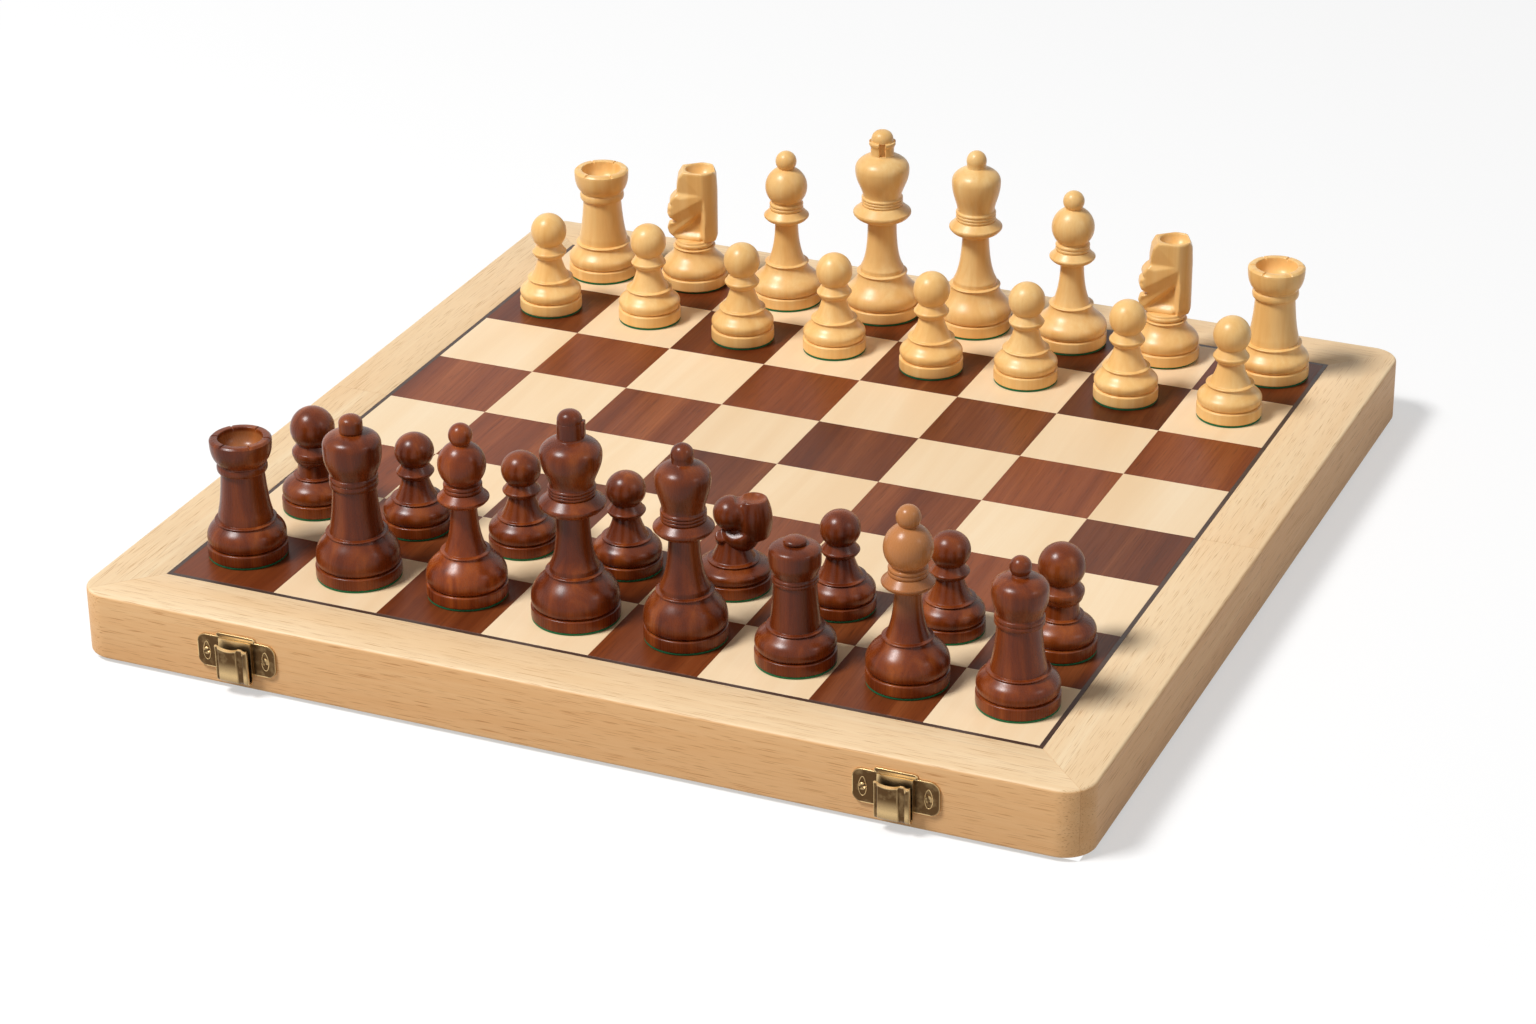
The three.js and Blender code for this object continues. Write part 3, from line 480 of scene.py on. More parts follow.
# Painted shade: the dark squares of the far half's back rows are drawn darker.
FAR_SHADED_DARK_TONES = (0.5, 0.95)
LINE_GAP = 0.03
LINE_SUNK = 0.02
SEAM_EDGE = 0.25
BAIZE_RISE = 0.22


def tile(bm, low, high, tones, dark):
    """One square of veneer, with its own place in the plank and its own tone."""
    grain = bm.verts.layers.float_vector["grain"]
    tone = bm.verts.layers.float["tone"]
    offset = Vector(spot_in_plank())
    lean = random.uniform(-TILE_LEAN, TILE_LEAN)
    shade = random.uniform(*tones)
    corners = (
        (low[0], low[1], 1, 1), (high[0], low[1], -1, 1),
        (high[0], high[1], -1, -1), (low[0], high[1], 1, -1),
    )
    rings = []
    for inset, z in ((0, panel_low.z), (0, TOP - TILE_EDGE / 2), (TILE_EDGE / 2, TOP)):
        ring = []
        for x, y, inward_x, inward_y in corners:
            vert = bm.verts.new((x + inward_x * inset, y + inward_y * inset, z))
            vert[grain] = Vector(((y + x * lean) * MM, (x - y * lean) * MM, z * MM)) + offset
            vert[tone] = shade
            ring.append(vert)
        rings.append(ring)
    faces = bridge(bm, rings) + [bm.faces.new(rings[0][::-1]), bm.faces.new(rings[-1])]
    for face in faces:
        face.material_index = int(dark)


def veneer(half):
    far = half == "far"
    bm = bmesh.new()
    bm.verts.layers.float_vector.new("grain")
    bm.verts.layers.float.new("tone")
    for column in range(8):
        for row in range(4):
            x = -FIELD + column * SQUARE
            start, stop = row * SQUARE if row else FOLD_GAP, (row + 1) * SQUARE
            low, high = (start, stop) if far else (-stop, -start)
            # The square at each player's left hand is dark.
            dark = (column + row) % 2 == (0 if far else 1)
            # The far half's back rows take the darker tones of painted shade.
            dark_tones = FAR_SHADED_DARK_TONES if far and row > 1 else DARK_TONES
            tile(bm, (x, low), (x + SQUARE, high), dark_tones if dark else PALE_TONES, dark)
    mesh = mesh_of(half + "_veneer", bm, MAPLE, WALNUT, sharp=10)
    show(half + "_veneered_panel", mesh, half + "_half", "veneer_panels", half + "_playing_panel")


def stringing(half):
    side = 1 if half == "far" else -1
    inside, outside = FIELD + LINE_GAP, INNER - LINE_GAP
    outline = [
        (-outside, FOLD_GAP), (-outside, outside), (outside, outside), (outside, FOLD_GAP),
        (inside, FOLD_GAP), (inside, inside), (-inside, inside), (-inside, FOLD_GAP),
    ]
    bm = bmesh.new()
    levels = (LEDGE_TOP + INLAY_GAP, TOP - LINE_SUNK)
    rings = [[bm.verts.new((x, side * y, z)) for x, y in outline] for z in levels]
    for ring in rings:
        bm.faces.new(ring)
    bridge(bm, rings)
    mesh = mesh_of(half + "_line", bm, STRING)
    grained(mesh, "x")
    show(half + "_dark_line", mesh, half + "_half", "stringing", half + "_stringing")


def seam_rail(half):
    """The CAD's own rail, with its edges eased."""
    node = half + "_seam_rail"
    bm = bmesh.new()
    bm.from_mesh(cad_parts[node].data)
    bmesh.ops.scale(bm, vec=(1 / MM,) * 3, verts=bm.verts)
    bmesh.ops.remove_doubles(bm, verts=bm.verts, dist=1e-3)
    bmesh.ops.dissolve_limit(bm, angle_limit=0.01, verts=bm.verts, edges=bm.edges)
    mesh = mesh_of(node, eased(bm, SEAM_EDGE), OAK)
    grained(mesh, "x", 0.97)
    show(node + "_oak", mesh, half + "_half", "oak_rails", node)


def wave(x, y):
    """Height of the baize's unevenness."""
    return 0.12 * math.sin(x / 17) * math.sin(y / 13) + 0.08 * math.sin(x / 6.1 + y / 7.3)


def lining(half):
    """Baize glued under the panel: a thin sheet, a little uneven where the glue took it up."""
    low, high = box(half + "_tray_lining")
    bm = bmesh.new()
    xs, ys = np.linspace(low.x, high.x, 97), np.linspace(low.y, high.y, 47)
    under = [[bm.verts.new((x, y, low.z + BAIZE_RISE + wave(x, y))) for y in ys] for x in xs]
    over = [[bm.verts.new((x, y, high.z)) for y in ys] for x in xs]
    shell(bm, over, under)
    mesh = mesh_of(half + "_baize", bm, BAIZE)
    piece = show(half + "_baize_lining", mesh, half + "_half", "baize", half + "_tray_lining")


for make in (veneer, stringing, seam_rail, lining):
    for half in HALVES:
        make(half)

# ---- brass
# Drawn as on the far half: x along the rail, y out from its face, z up from the rim.


def slab(bm, outline, y0, y1, edge=0.3):
    """A plate between y0 and y1 with its outer edge rounded. outline(inset) gives points in x and z."""
    levels = [(0, y0), (0, y1 - edge)]
    for degrees in (30, 60, 90):
        angle = math.radians(degrees)
        levels.append((edge * (1 - math.cos(angle)), y1 - edge + edge * math.sin(angle)))
    levels.append((edge + 0.35, y1))
    rings = [[bm.verts.new((x, y, z)) for x, z in outline(inset)] for inset, y in levels]
    bm.faces.new(rings[0])
    bm.faces.new(rings[-1][::-1])
    bridge(bm, rings)


def rounded_box(x0, x1, z0, z1, radius, steps=8):
    corners = ((x1 - radius, z0 + radius, -90), (x1 - radius, z1 - radius, 0),
               (x0 + radius, z1 - radius, 90), (x0 + radius, z0 + radius, 180))

    def outline(inset):
        made = []
        for x, z, start in corners:
            made += arc(x, z, max(radius - inset, 0.01), start, start + 90, steps)
        return made
    return outline


def rod(bm, points, radius, sides=12, caps=True):
    """A round bar along a path of points."""
    path = [Vector(p) for p in points]
    rings = []
    side = None
    for n, point in enumerate(path):
        along = (path[min(n + 1, len(path) - 1)] - path[max(n - 1, 0)]).normalized()
        if side is None:
            side = along.orthogonal().normalized()
        side = (side - along * side.dot(along)).normalized()
        other = along.cross(side)
        size = radius[n] if isinstance(radius, (list, tuple)) else radius
        rings.append([
            bm.verts.new(point + size * (side * math.cos(a) + other * math.sin(a)))
            for a in (2 * math.pi * k / sides for k in range(sides))
        ])
    bridge(bm, rings)
    if caps:
        bm.faces.new(rings[0][::-1])
        bm.faces.new(rings[-1])


WIDE = 6
BRIGHT_EDGE_RINGS = (0.3, 0.5, 0.5, 0.5, 0.5)


def prism(bm, points, x0, x1, edge):
    """A section in y and z, between x0 and x1, with eased edges."""
    part = bmesh.new()
    ends = [[part.verts.new((x, y, z)) for y, z in points] for x in (x0, x1)]
    part.faces.new(ends[0])
    part.faces.new(ends[1][::-1])
    bridge(part, ends)
    bmesh.ops.recalc_face_normals(part, faces=part.faces)
    if edge:
        eased(part, edge, 2, 35)
        # Rings inside the wide faces keep the bright edges, partly rubbed wear and partly painted
        # highlight, from spreading over them.
        wide = [face for face in part.faces if face.calc_area() > WIDE]
        for ring in BRIGHT_EDGE_RINGS:
            bmesh.ops.inset_individual(part, faces=wide, thickness=ring)
    joined(bm, part)


PLATE_HALF = 19.0
PLATE_TALL = 15.5
PLATE_CORNER = 4.5
PLATE_BACK = 0.1
PLATE_FRONT = 1.1
SCREW_X = 14.2
SCREW_SUNK = 0.05
HEAD = 1.75
HEAD_SIDES = 28
HEAD_WALL = 0.35
HEAD_DOME = 0.75
SLOT_HALF = 0.416
SLOT_DEEP = 0.5
EYE_HALF = 1.75
EYE_TALL = 4.3
EYE_WIRE = 0.2


def screw(bm, x, y, z, turn):
    """Domed head with a slot, standing in a long raised rim."""
    rim = []
    for degrees in range(0, 375, 15):
        a = math.radians(degrees)
        narrow = 1.0 if math.sin(a) < 0 else 1 - 0.28 * math.sin(a)
        rim.append((x + EYE_HALF * narrow * math.cos(a), y + 0.12, z + EYE_TALL * math.sin(a)))
    rod(bm, rim, EYE_WIRE, 8, caps=False)
    head = bmesh.new()
    levels = [(HEAD, 0), (HEAD, HEAD_WALL)]
    levels += [(HEAD * math.cos(t), HEAD_WALL + HEAD_DOME * math.sin(t)) for t in (0.35, 0.7, 1.05, 1.4)]
    angles = [2 * math.pi * k / HEAD_SIDES for k in range(HEAD_SIDES)]
    rings = [[head.verts.new((r * math.cos(a), h, r * math.sin(a))) for a in angles] for r, h in levels]
    bridge(head, rings)
    head.faces.new(rings[0])
    head.faces.new(rings[-1][::-1])
    for vertex in head.verts:
        if abs(vertex.co.x) < SLOT_HALF and vertex.co.y > SLOT_DEEP:
            vertex.co.y -= SLOT_DEEP
    place = Matrix.Translation((x, y, z)) @ Matrix.Rotation(math.radians(turn), 4, "Y")
    bmesh.ops.transform(head, matrix=place, verts=head.verts)
    bmesh.ops.recalc_face_normals(head, faces=head.faces)
    joined(bm, head)


def face_plate(foot_z, turns):
    """Rounded plate with a screw at each end."""
    bm = bmesh.new()
    outline = rounded_box(-PLATE_HALF, PLATE_HALF, foot_z, foot_z + PLATE_TALL, PLATE_CORNER)
    slab(bm, outline, PLATE_BACK, PLATE_FRONT, 0.35)
    for x, turn in zip((-SCREW_X, SCREW_X), turns):
        screw(bm, x, PLATE_FRONT - SCREW_SUNK, foot_z + PLATE_TALL / 2, turn)
    return bm


HOOK_PLATE_Z = 8.0
HOOK_BEND_Z = 6.2
HOOK_LINE = 3.4
HOOK_BACK = 2.1
HOOK_FRONT = 4.4
HOOK_SHEET = 0.8
HOOK_FLARE = 17
HOOK_TOP = 21.6
HOOK_LIP = 0.55
HOOK_BACK_TOP = 23.2
HOOK_HALF = 7.75
HOOK_COLUMNS = 62
BAR_HALF = 9.5
BAR_FOOT = 22.3
BAR_TOP = 25.3
PRESSED = 1.1
PANEL_X = 1.65
PANEL_HALF = 4.75
COLUMN_X = -6.45
COLUMN_HALF = 1.2


def pressed(x):
    """How far the front of the strap stands out of its flat sheet: a broad panel and a narrow column."""
    u = (x - PANEL_X) / PANEL_HALF
    if abs(u) < 1:
        return 0.75 * min(1, (1 - abs(u)) * 9) ** 0.6 + 0.25 * (1 - u * u)
    v = (x - COLUMN_X) / COLUMN_HALF
    if abs(v) < 1:
        return 0.7 * math.sqrt(1 - v * v)
    return 0.0


def scoop(x):
    """How far the lip dips below its corners."""
    u = (x - PANEL_X) / (PANEL_HALF + 0.35)
    v = (x - COLUMN_X) / (COLUMN_HALF + 0.2)
    return 1.3 * max(0, 1 - u * u) ** 0.8 + 0.7 * max(0, 1 - v * v)


def hook_path():
    """The strap's line, down its back, round the bend and up its front: y, z, share of the pressing."""
    path = [(HOOK_BACK, z, 0.0) for z in (HOOK_BACK_TOP, 19.0, 15.0, 11.0, 8.5, HOOK_BEND_Z)]
    middle, bend = (HOOK_BACK + HOOK_FRONT) / 2, (HOOK_FRONT - HOOK_BACK) / 2
    for n in range(1, 16):
        a = math.pi + math.pi * n / 16
        path.append((middle + bend * math.cos(a), HOOK_BEND_Z + bend * math.sin(a), max(0.0, (n - 9) / 8)))
    path += [(HOOK_FRONT, z, 1.0) for z in (HOOK_BEND_Z, *range(7, HOOK_FLARE + 1))]
    for n in range(1, 9):
        t = n / 8
        z = HOOK_FLARE + (HOOK_TOP - HOOK_FLARE) * t
        path.append((HOOK_FRONT + HOOK_LIP * t * t, z, 1.0 - 0.3 * t))
    return path


def hook():
    """Strap bent up into a hook, pressed into a panel and a column, with a flared lip."""
    bm = face_plate(HOOK_PLATE_Z, (20, -65))
    path = hook_path()
    xs = [-HOOK_HALF + 2 * HOOK_HALF * n / HOOK_COLUMNS for n in range(HOOK_COLUMNS + 1)]
    inner, outer = [], []
    for n, (y, z, press) in enumerate(path):
        before, after = path[max(n - 1, 0)], path[min(n + 1, len(path) - 1)]
        along = Vector((after[0] - before[0], after[1] - before[1])).normalized()
        out = Vector((along.y, -along.x))
        lift = max(0.0, (z - HOOK_FLARE) / (HOOK_TOP - HOOK_FLARE)) if press else 0.0
        inner.append([bm.verts.new((x, y, z - scoop(x) * lift)) for x in xs])
        line = []
        for x in xs:
            reach = HOOK_SHEET + pressed(x) * PRESSED * press
            line.append(bm.verts.new((x, y + out.x * reach, z + out.y * reach - scoop(x) * lift)))
        outer.append(line)
    shell(bm, inner, outer)
    slab(bm, rounded_box(-BAR_HALF, BAR_HALF, BAR_FOOT, BAR_TOP, 1.3, 5), PLATE_BACK, 1.0)
    return bm


BASE_PLATE_Z = 2.0
PIVOT_Z = 5.0
LOOP_Z = 11.0
EAR = 2.2
EAR_IN = 6.9
EAR_OUT = 7.9
EAR_BACK = 0.6
RIVET = 1.15
BOSS = 1.9
LEVER_SHEET = 1.1
LEVER_HALF = 6.5
LEVER_REACH = 6.2
LEVER_FLARE = 20.0
LOOP_TALL = 17.5
LOOP_HALF = 9.4
LOOP_CORNER = 1.8
LOOP_END = 3.5
LOOP_WIRE = 0.8


def latch_base():
    """Plate with two ears that carry the lever's pivot."""
    bm = face_plate(BASE_PLATE_Z, (70, -15))
    for side in (-1, 1):
        x0, x1 = sorted((side * EAR_IN, side * EAR_OUT))
        ear = [(EAR_BACK, PIVOT_Z - EAR), *arc(HOOK_LINE, PIVOT_Z, EAR, -90, 90, 12)]
        prism(bm, [*ear, (EAR_BACK, PIVOT_Z + 2 * EAR)], x0, x1, 0.15)
        rivet = [(side * x, HOOK_LINE, PIVOT_Z) for x in (EAR_OUT - 0.2, EAR_OUT + 0.15, EAR_OUT + 0.4)]
        rod(bm, rivet, [RIVET, RIVET, 0.7], 20)
    rod(bm, [(side * (EAR_OUT - 0.1), HOOK_LINE, PIVOT_Z) for side in (-1, 1)], 0.7, 16)
    return bm


def latch_lever():
    """Bent sheet with a boss for its pivot, a seat for the loop and a flared tip."""
    bm = bmesh.new()
    outside = HOOK_LINE + BOSS
    front = arc(HOOK_LINE, PIVOT_Z, BOSS, 180, 360)
    shares = (0, 0.25, 0.5, 0.75, 1)
    tip = [(outside + (LEVER_REACH - outside) * t * t, LEVER_FLARE + 4.4 * t) for t in shares]
    rear = [(y - LEVER_SHEET, z + 0.1) for y, z in tip[::-1]]
    seat = [(outside - LEVER_SHEET, LOOP_Z + BOSS), *arc(HOOK_LINE, LOOP_Z, BOSS, 90, 180)]
    prism(bm, front + tip + rear + seat, -LEVER_HALF, LEVER_HALF, 0.25)
    for z, radius in ((PIVOT_Z, 1.25), (LOOP_Z, 1.3)):
        for side in (-1, 1):
            rod(bm, [(side * x, HOOK_LINE, z) for x in (LEVER_HALF - 0.2, LEVER_HALF + 0.12)], radius, 20)
    return bm


def latch_loop():
    """Wire bent round four corners, with its ends turned in to meet the lever."""
    bm = bmesh.new()
    x, low, high = LOOP_HALF - LOOP_CORNER, LOOP_Z + LOOP_CORNER, LOOP_Z + LOOP_TALL - LOOP_CORNER
    path = [(-LOOP_END, LOOP_Z), (-LOOP_END - 1, LOOP_Z)]
    for cx, cz, start in ((-x, low, 180), (-x, high, 90), (x, high, 0), (x, low, 270)):
        path += arc(cx, cz, LOOP_CORNER, start + 90, start, 6)
    path += [(LOOP_END + 1, LOOP_Z), (LOOP_END, LOOP_Z)]
    rod(bm, [(cx, HOOK_LINE, cz) for cx, cz in path], LOOP_WIRE, 14)
    return bm


HINGE_HALF = 15
KNUCKLE = 1.4
PIN = 0.5
LEAF_IN = 1.7
LEAF_OUT = 9.5
LEAF_FOOT = 1.55
LEAF_TOP = 2.55
LEAF_SCREW = 1.7
LEAF_SCREW_Y = 5.6
MIDDLE = [(-4.8, 4.8)]
OUTSIDE = [(-HINGE_HALF, -5.1), (5.1, HINGE_HALF)]


def hinge_leaf(spans):
    """Leaf let into the underside of the seam rail, with its knuckles on the fold."""
    bm = bmesh.new()
    size = (2 * HINGE_HALF, LEAF_OUT - LEAF_IN, LEAF_TOP - LEAF_FOOT)
    middle = Matrix.Translation((0, (LEAF_IN + LEAF_OUT) / 2, (LEAF_FOOT + LEAF_TOP) / 2))
    block(bm, size, middle, 0.18, 2)
    low, high = LEAF_FOOT + 0.01, LEAF_TOP - 0.01
    web = [(0.95, low), (1.9, low), (1.9, high), (0.95, high)]
    for start, stop in spans:
        prism(bm, arc(0, KNUCKLE, KNUCKLE, 0, 360, 24)[:-1], start, stop, 0)
        prism(bm, web, start, stop, 0)
    for x in (-10, 0, 10):
        head = [(x, LEAF_SCREW_Y, z) for z in (1.6, 1.5, 1.44)]
        rod(bm, head, [LEAF_SCREW, LEAF_SCREW, LEAF_SCREW - 0.35], 24)
    return bm


def hinge_pin():
    bm = bmesh.new()
    rod(bm, [(-HINGE_HALF, 0, KNUCKLE), (HINGE_HALF, 0, KNUCKLE)], PIN, 16)
    return bm


RUBBED = 0.8
RUBBED_Z = 8.5
RUBBED_SPAN = 6


def brass_piece(bm, name, body, place, node):
    """Shows a brass part. A hook's raised front is rubbed bright in its lower part."""
    hooked = "hook" in name
    wear = []
    for x, y, z in (vertex.co for vertex in bm.verts):
        share = max(0.0, 1 - abs(z - RUBBED_Z) / RUBBED_SPAN) * min(1.0, pressed(x) * 1.5)
        wear.append(RUBBED * share if hooked and y > HOOK_LINE else 0.0)
    mesh = mesh_of(name, bm, ANTIQUE, place=place, sharp=35)
    put(mesh, "wear", wear)
    show(name, mesh, body, "antique_brass", node)


LATCH_X = 151
HINGE_X = 120


def at(x, y=0, z=0):
    return Matrix.Translation((x * MM, y * MM, z * MM))


for side, x in (("left_", -1), ("right_", 1)):
    far, near = at(x * LATCH_X, OUTER, RIM), turned(180) @ at(-x * LATCH_X, OUTER, RIM)
    brass_piece(hook(), side + "brass_hook", "near_half", near, side + "hook_plate")
    brass_piece(latch_base(), side + "brass_base", "far_half", far, side + "latch_base")
    brass_piece(latch_lever(), side + "brass_lever", side + "lever", far, side + "latch_lever")
    brass_piece(latch_loop(), side + "brass_loop", side + "loop", far, side + "latch_loop")
    far, near = at(x * HINGE_X), turned(180) @ at(-x * HINGE_X)
    brass_piece(hinge_leaf(OUTSIDE), side + "far_leaf", "far_half", far, side + "hinge_far_leaf")
    brass_piece(hinge_leaf(MIDDLE), side + "near_leaf", "near_half", near, side + "hinge_near_leaf")
    brass_piece(hinge_pin(), side + "pin", "far_half", far, side + "hinge_pin")

# ---- turned men

FELT = 0.9
BAND = 6.6
SEGMENTS = 64


class Turning:
    """Outline of a turned man, drawn upwards: radius, and rise above the last point."""

    def __init__(self, radius, z):
        self.points = [(0.0, z), (radius, z)]

    def to(self, radius, rise):
        self.points.append((radius, self.points[-1][1] + rise))
        return self

    def bend(self, one, two, end, steps=14):
        """Cubic curve through two corners, each given as radius and rise."""
        r0, z0 = self.points[-1]
        for step in range(1, steps + 1):
            t = step / steps
            w = ((1 - t) ** 3, 3 * t * (1 - t) ** 2, 3 * t * t * (1 - t), t ** 3)
            radius = w[0] * r0 + w[1] * one[0] + w[2] * two[0] + w[3] * end[0]
            rise = w[1] * one[1] + w[2] * two[1] + w[3] * end[1]
            self.points.append((radius, z0 + rise))
        return self

    def curve(self, corner, end, steps=12):
        r0 = self.points[-1][0]
        one = (r0 + (corner[0] - r0) * 2 / 3, corner[1] * 2 / 3)
        two = (end[0] + (corner[0] - end[0]) * 2 / 3, end[1] + (corner[1] - end[1]) * 2 / 3)
        return self.bend(one, two, end, steps)

    def bead(self, bulge, rise, steps=8):
        r0, z0 = self.points[-1]
        for step in range(1, steps + 1):
            angle = math.pi * step / steps
            self.points.append((r0 + bulge * math.sin(angle), z0 + rise * (1 - math.cos(angle)) / 2))
        return self

    def ball(self, radius, end=0.0, steps=20):
        start = -math.acos(min(1, self.points[-1][0] / radius))
        stop = math.acos(end / radius)
        centre = self.points[-1][1] - radius * math.sin(start)
        for step in range(1, steps + 1):
            angle = start + (stop - start) * step / steps
            reach = end if step == steps else radius * math.cos(angle)
            self.points.append((reach, centre + radius * math.sin(angle)))
        return self

    def softened(self, convex=0.45, concave=0.15):
        """The outline with its corners eased."""
        points = [Vector(p) for p in self.points]
        made = [points[0]]
        for before, point, after in zip(points, points[1:], points[2:]):
            into, out = point - before, after - point
            if into.length < 1e-6 or out.length < 1e-6 or into.angle(out) < math.radians(16):
                made.append(point)
                continue
            turn = into.x * out.y - into.y * out.x
            size = min(convex if turn > 0 else concave, 0.45 * into.length, 0.45 * out.length)
            start = point - into.normalized() * size
            end = point + out.normalized() * size
            for t in (0, 0.25, 0.5, 0.75, 1):
                made.append(start * (1 - t) ** 2 + point * 2 * t * (1 - t) + end * t * t)
        made.append(points[-1])
        return made


def lathe(outline, carve=None, side="", segments=SEGMENTS):
    """Turns an outline round the z axis. carve(radius, z, angle, side) may move each point."""
    bm = bmesh.new()
    rings = []
    for radius, z in outline:
        ring = []
        for n in range(segments if radius > 1e-6 else 1):
            angle = 2 * math.pi * n / segments
            r, h = carve(radius, z, angle, side) if carve else (radius, z)
            ring.append(bm.verts.new((r * math.cos(angle), r * math.sin(angle), h)))
        rings.append(ring)
    bridge(bm, rings)
    return bm


def foot(lean, radius, bell, ledge, height):
    """Band, deep groove and bell, with the thin lip that ends it. lean draws the shoulder in."""
    made = Turning(radius - 0.4, FELT)
    made.to(radius, 0.4).to(radius, BAND - FELT - 1.4)
    made.curve((radius, 0.7), (radius - 0.8, 0.8), 5)
    made.to(radius - 1.7, 0.2)
    made.curve((bell - 0.2, 0.15), (bell, 2.6), 8)
    z = made.points[-1][1]
    rise = height - z - 0.2
    low, high = (0.66 - 0.10 * lean) * rise, (0.92 - 0.18 * lean) * rise
    made.bend((bell + 0.2, low), (ledge + 2.2 - 0.7 * lean, high), (ledge - 0.1, rise), 20)
    made.bead(0.65, 0.9)
    made.to(ledge - 1.2, 0.1)
    return made


def stem(made, hollow, low, radius, height, lip=0.0):
    """Hollow curve from the foot's lip up to the neck."""
    if lip:
        made.to(made.points[-1][0] - 0.1, lip)
    return made.curve((hollow, low), (radius, height - 0.75), 16)


def collar(made, flare, radius, rim, slope, neck):
    """Disc that flares out of the stem, with a rounded rim and a sloping top."""
    start = made.points[-1][0]
    made.curve((start + 0.75 * (radius - start), flare * 0.3), (radius - 0.5, flare))
    made.bead(0.5, rim)
    return made.to(neck, slope)


def beads(made, radius, height, count=2, bulge=0.55):
    """Fine rounded rings, one above the other."""
    made.to(radius - bulge, 0.15)
    for _ in range(count):
        made.bead(bulge, height / count)
    return made


def pawn(lean):
    made = stem(foot(lean, 15.4, 15.2, 10.8, 16), 6.9, 4.2, 5.8, 10.7)
    return collar(made, 2.0, 8.5, 1.4, 3.2, 6).ball(8.8)


def collared_pawn(lean):
    made = stem(foot(lean, 15.6, 15.2, 9.3, 16.5), 7.6, 3, 7.5, 6.5)
    return collar(made, 3, 9.8, 3, 3, 7.2).ball(10)


def bishop(lean):
    made = stem(foot(lean, 17.6, 17.6, 10.4, 20.5), 5.8, 7.5, 5.7, 21.4)
    made = collar(made, 2.6, 11.2, 1.5, 2.5, 8.4)
    return beads(made, 8.4, 3.6).to(7, 0.45).ball(10.4, 3.8).ball(5.2)


def rook(lean):
    made = stem(foot(lean, 17.6, 17.4, 13.2, 17), 10.3, 6, 9.5, 20.5, 3)
    made = beads(made, 11.1, 3.5, 1, 0.6).to(10.4, 0.5)
    made.bend((12.4, 2.0), (13.6, 4.6), (13.6, 10.2))
    made.bead(-0.05, 0.4, 2).to(12.6, 1.0).to(9.9, 0.0)
    return made.bend((9.3, -6), (7.8, -8.6), (0, -8.6))


def royal(made, crown, dome, top):
    """Crown that swells from its rings and closes in a dome."""
    start = made.points[-1][0]
    radius, height = crown
    made.bend((start + 0.5, height * 0.32), (radius, height * 0.55), (radius, height))
    return made.bend((radius, dome * 0.42), (radius * 0.86, dome * 0.72), (top, dome))


def queen(lean):
    made = stem(foot(lean, 18, 18, 12, 22), 7, 6, 6.5, 23.5, 2)
    made = beads(collar(made, 3.2, 13, 1.8, 2.5, 9.9), 9.8, 4.6, 3)
    return royal(made.to(9.0, 0.45), (11.9, 14), 7, 4.7).to(4.7, 2).ball(4.9)


def king(lean):
    made = stem(foot(lean, 19.2, 19, 12, 22), 6.9, 6, 7.2, 25.1, 2)
    made = beads(collar(made, 3.4, 14.3, 2.0, 3.0, 10.4), 10.2, 4.3, 3)
    made = royal(made.to(9.5, 0.45), (13.3, 13.5), 7.3, 6.2)
    made.to(5.9, 0.6).to(5.9, 1.7).to(5.9, 1.7)
    made.bend((6.0, 0.7), (6.3, 1.3), (6.7, 1.9), 4).to(6.7, 1.3).to(5.3, 0.2)
    return made.bend((5.7, 2.0), (4.7, 5.4), (0, 5.4))


PETALS_FOOT = 83.9
PETALS_TOP = 90.6
BALL = 4.9
QUARTER = math.pi / 2
PETAL_TURN = 0.26
PETAL_GAP = 1.6
PETAL_ROOT = 4.2
CUP = 5.6
CUP_TOP = 89.0
NICKS_FOOT = 55.4
NICKED_RIM = 13
NICK_HALF = 0.55
NICK = 0.7


def slotted(radius, z, angle, side):
    """Cuts the slots between the petals round the king's ball. The dark king's are worn to a plain cup."""
    if radius < BALL or not PETALS_FOOT < z < PETALS_TOP:
        return radius, z
    if side == "light":
        across = abs((angle / QUARTER + PETAL_TURN) % 1 - 0.5) * QUARTER * radius
        return (PETAL_ROOT if across < PETAL_GAP else radius), z
    return min(radius, CUP), min(z, CUP_TOP)


def tooth(bm):
    """The one petal left standing beside the dark king's ball."""
    place = Matrix.Rotation(0.2, 4, "Z") @ Matrix.Translation((5.5, 0, 88.0))
    block(bm, (1.9, 3.6, 7.2), place, 0.6, 3)


def notched(radius, z, angle, side):
    """Nicks the rim of a rook's cup in six places."""
    sixth = math.pi / 3
    away = abs((angle / sixth + 0.2) % 1 - 0.5) * sixth * NICKED_RIM
    if z > NICKS_FOOT and radius > 9 and away < NICK_HALF:
        return radius, z - NICK
    return radius, z


def capped(lean, ledge, waist, rings, cap, knob, ball=0.0):
    """Man with a bell-shaped cap, which ends in a knob or a ball.

    cap holds the bell's radius, the heights of its flare, wall and dome, and the dome's inner radius.
    knob holds its radius, and the heights of its wall and of its rounded end.
    """
    made = stem(foot(lean, *ledge), *waist)
    radius, height = rings
    made = beads(made, radius, height, 2, 0.35).to(radius - 0.6, 0.4)
    bell, flare, wall, dome, inner = cap
    made.bend((bell - 1.4, flare * 0.3), (bell, flare * 0.5), (bell, flare)).to(bell, wall)
    neck, tall, end = knob
    made.bend((bell, dome * 0.5), (inner * 0.92, dome * 0.85), (neck - 0.5, dome))
    if ball:
        return made.to(neck - 0.7, 0.9).ball(ball)
    made.to(neck, 0.5).to(neck, tall)
    return made.bend((neck, end * 0.55), (neck * 0.55, end), (0, end))


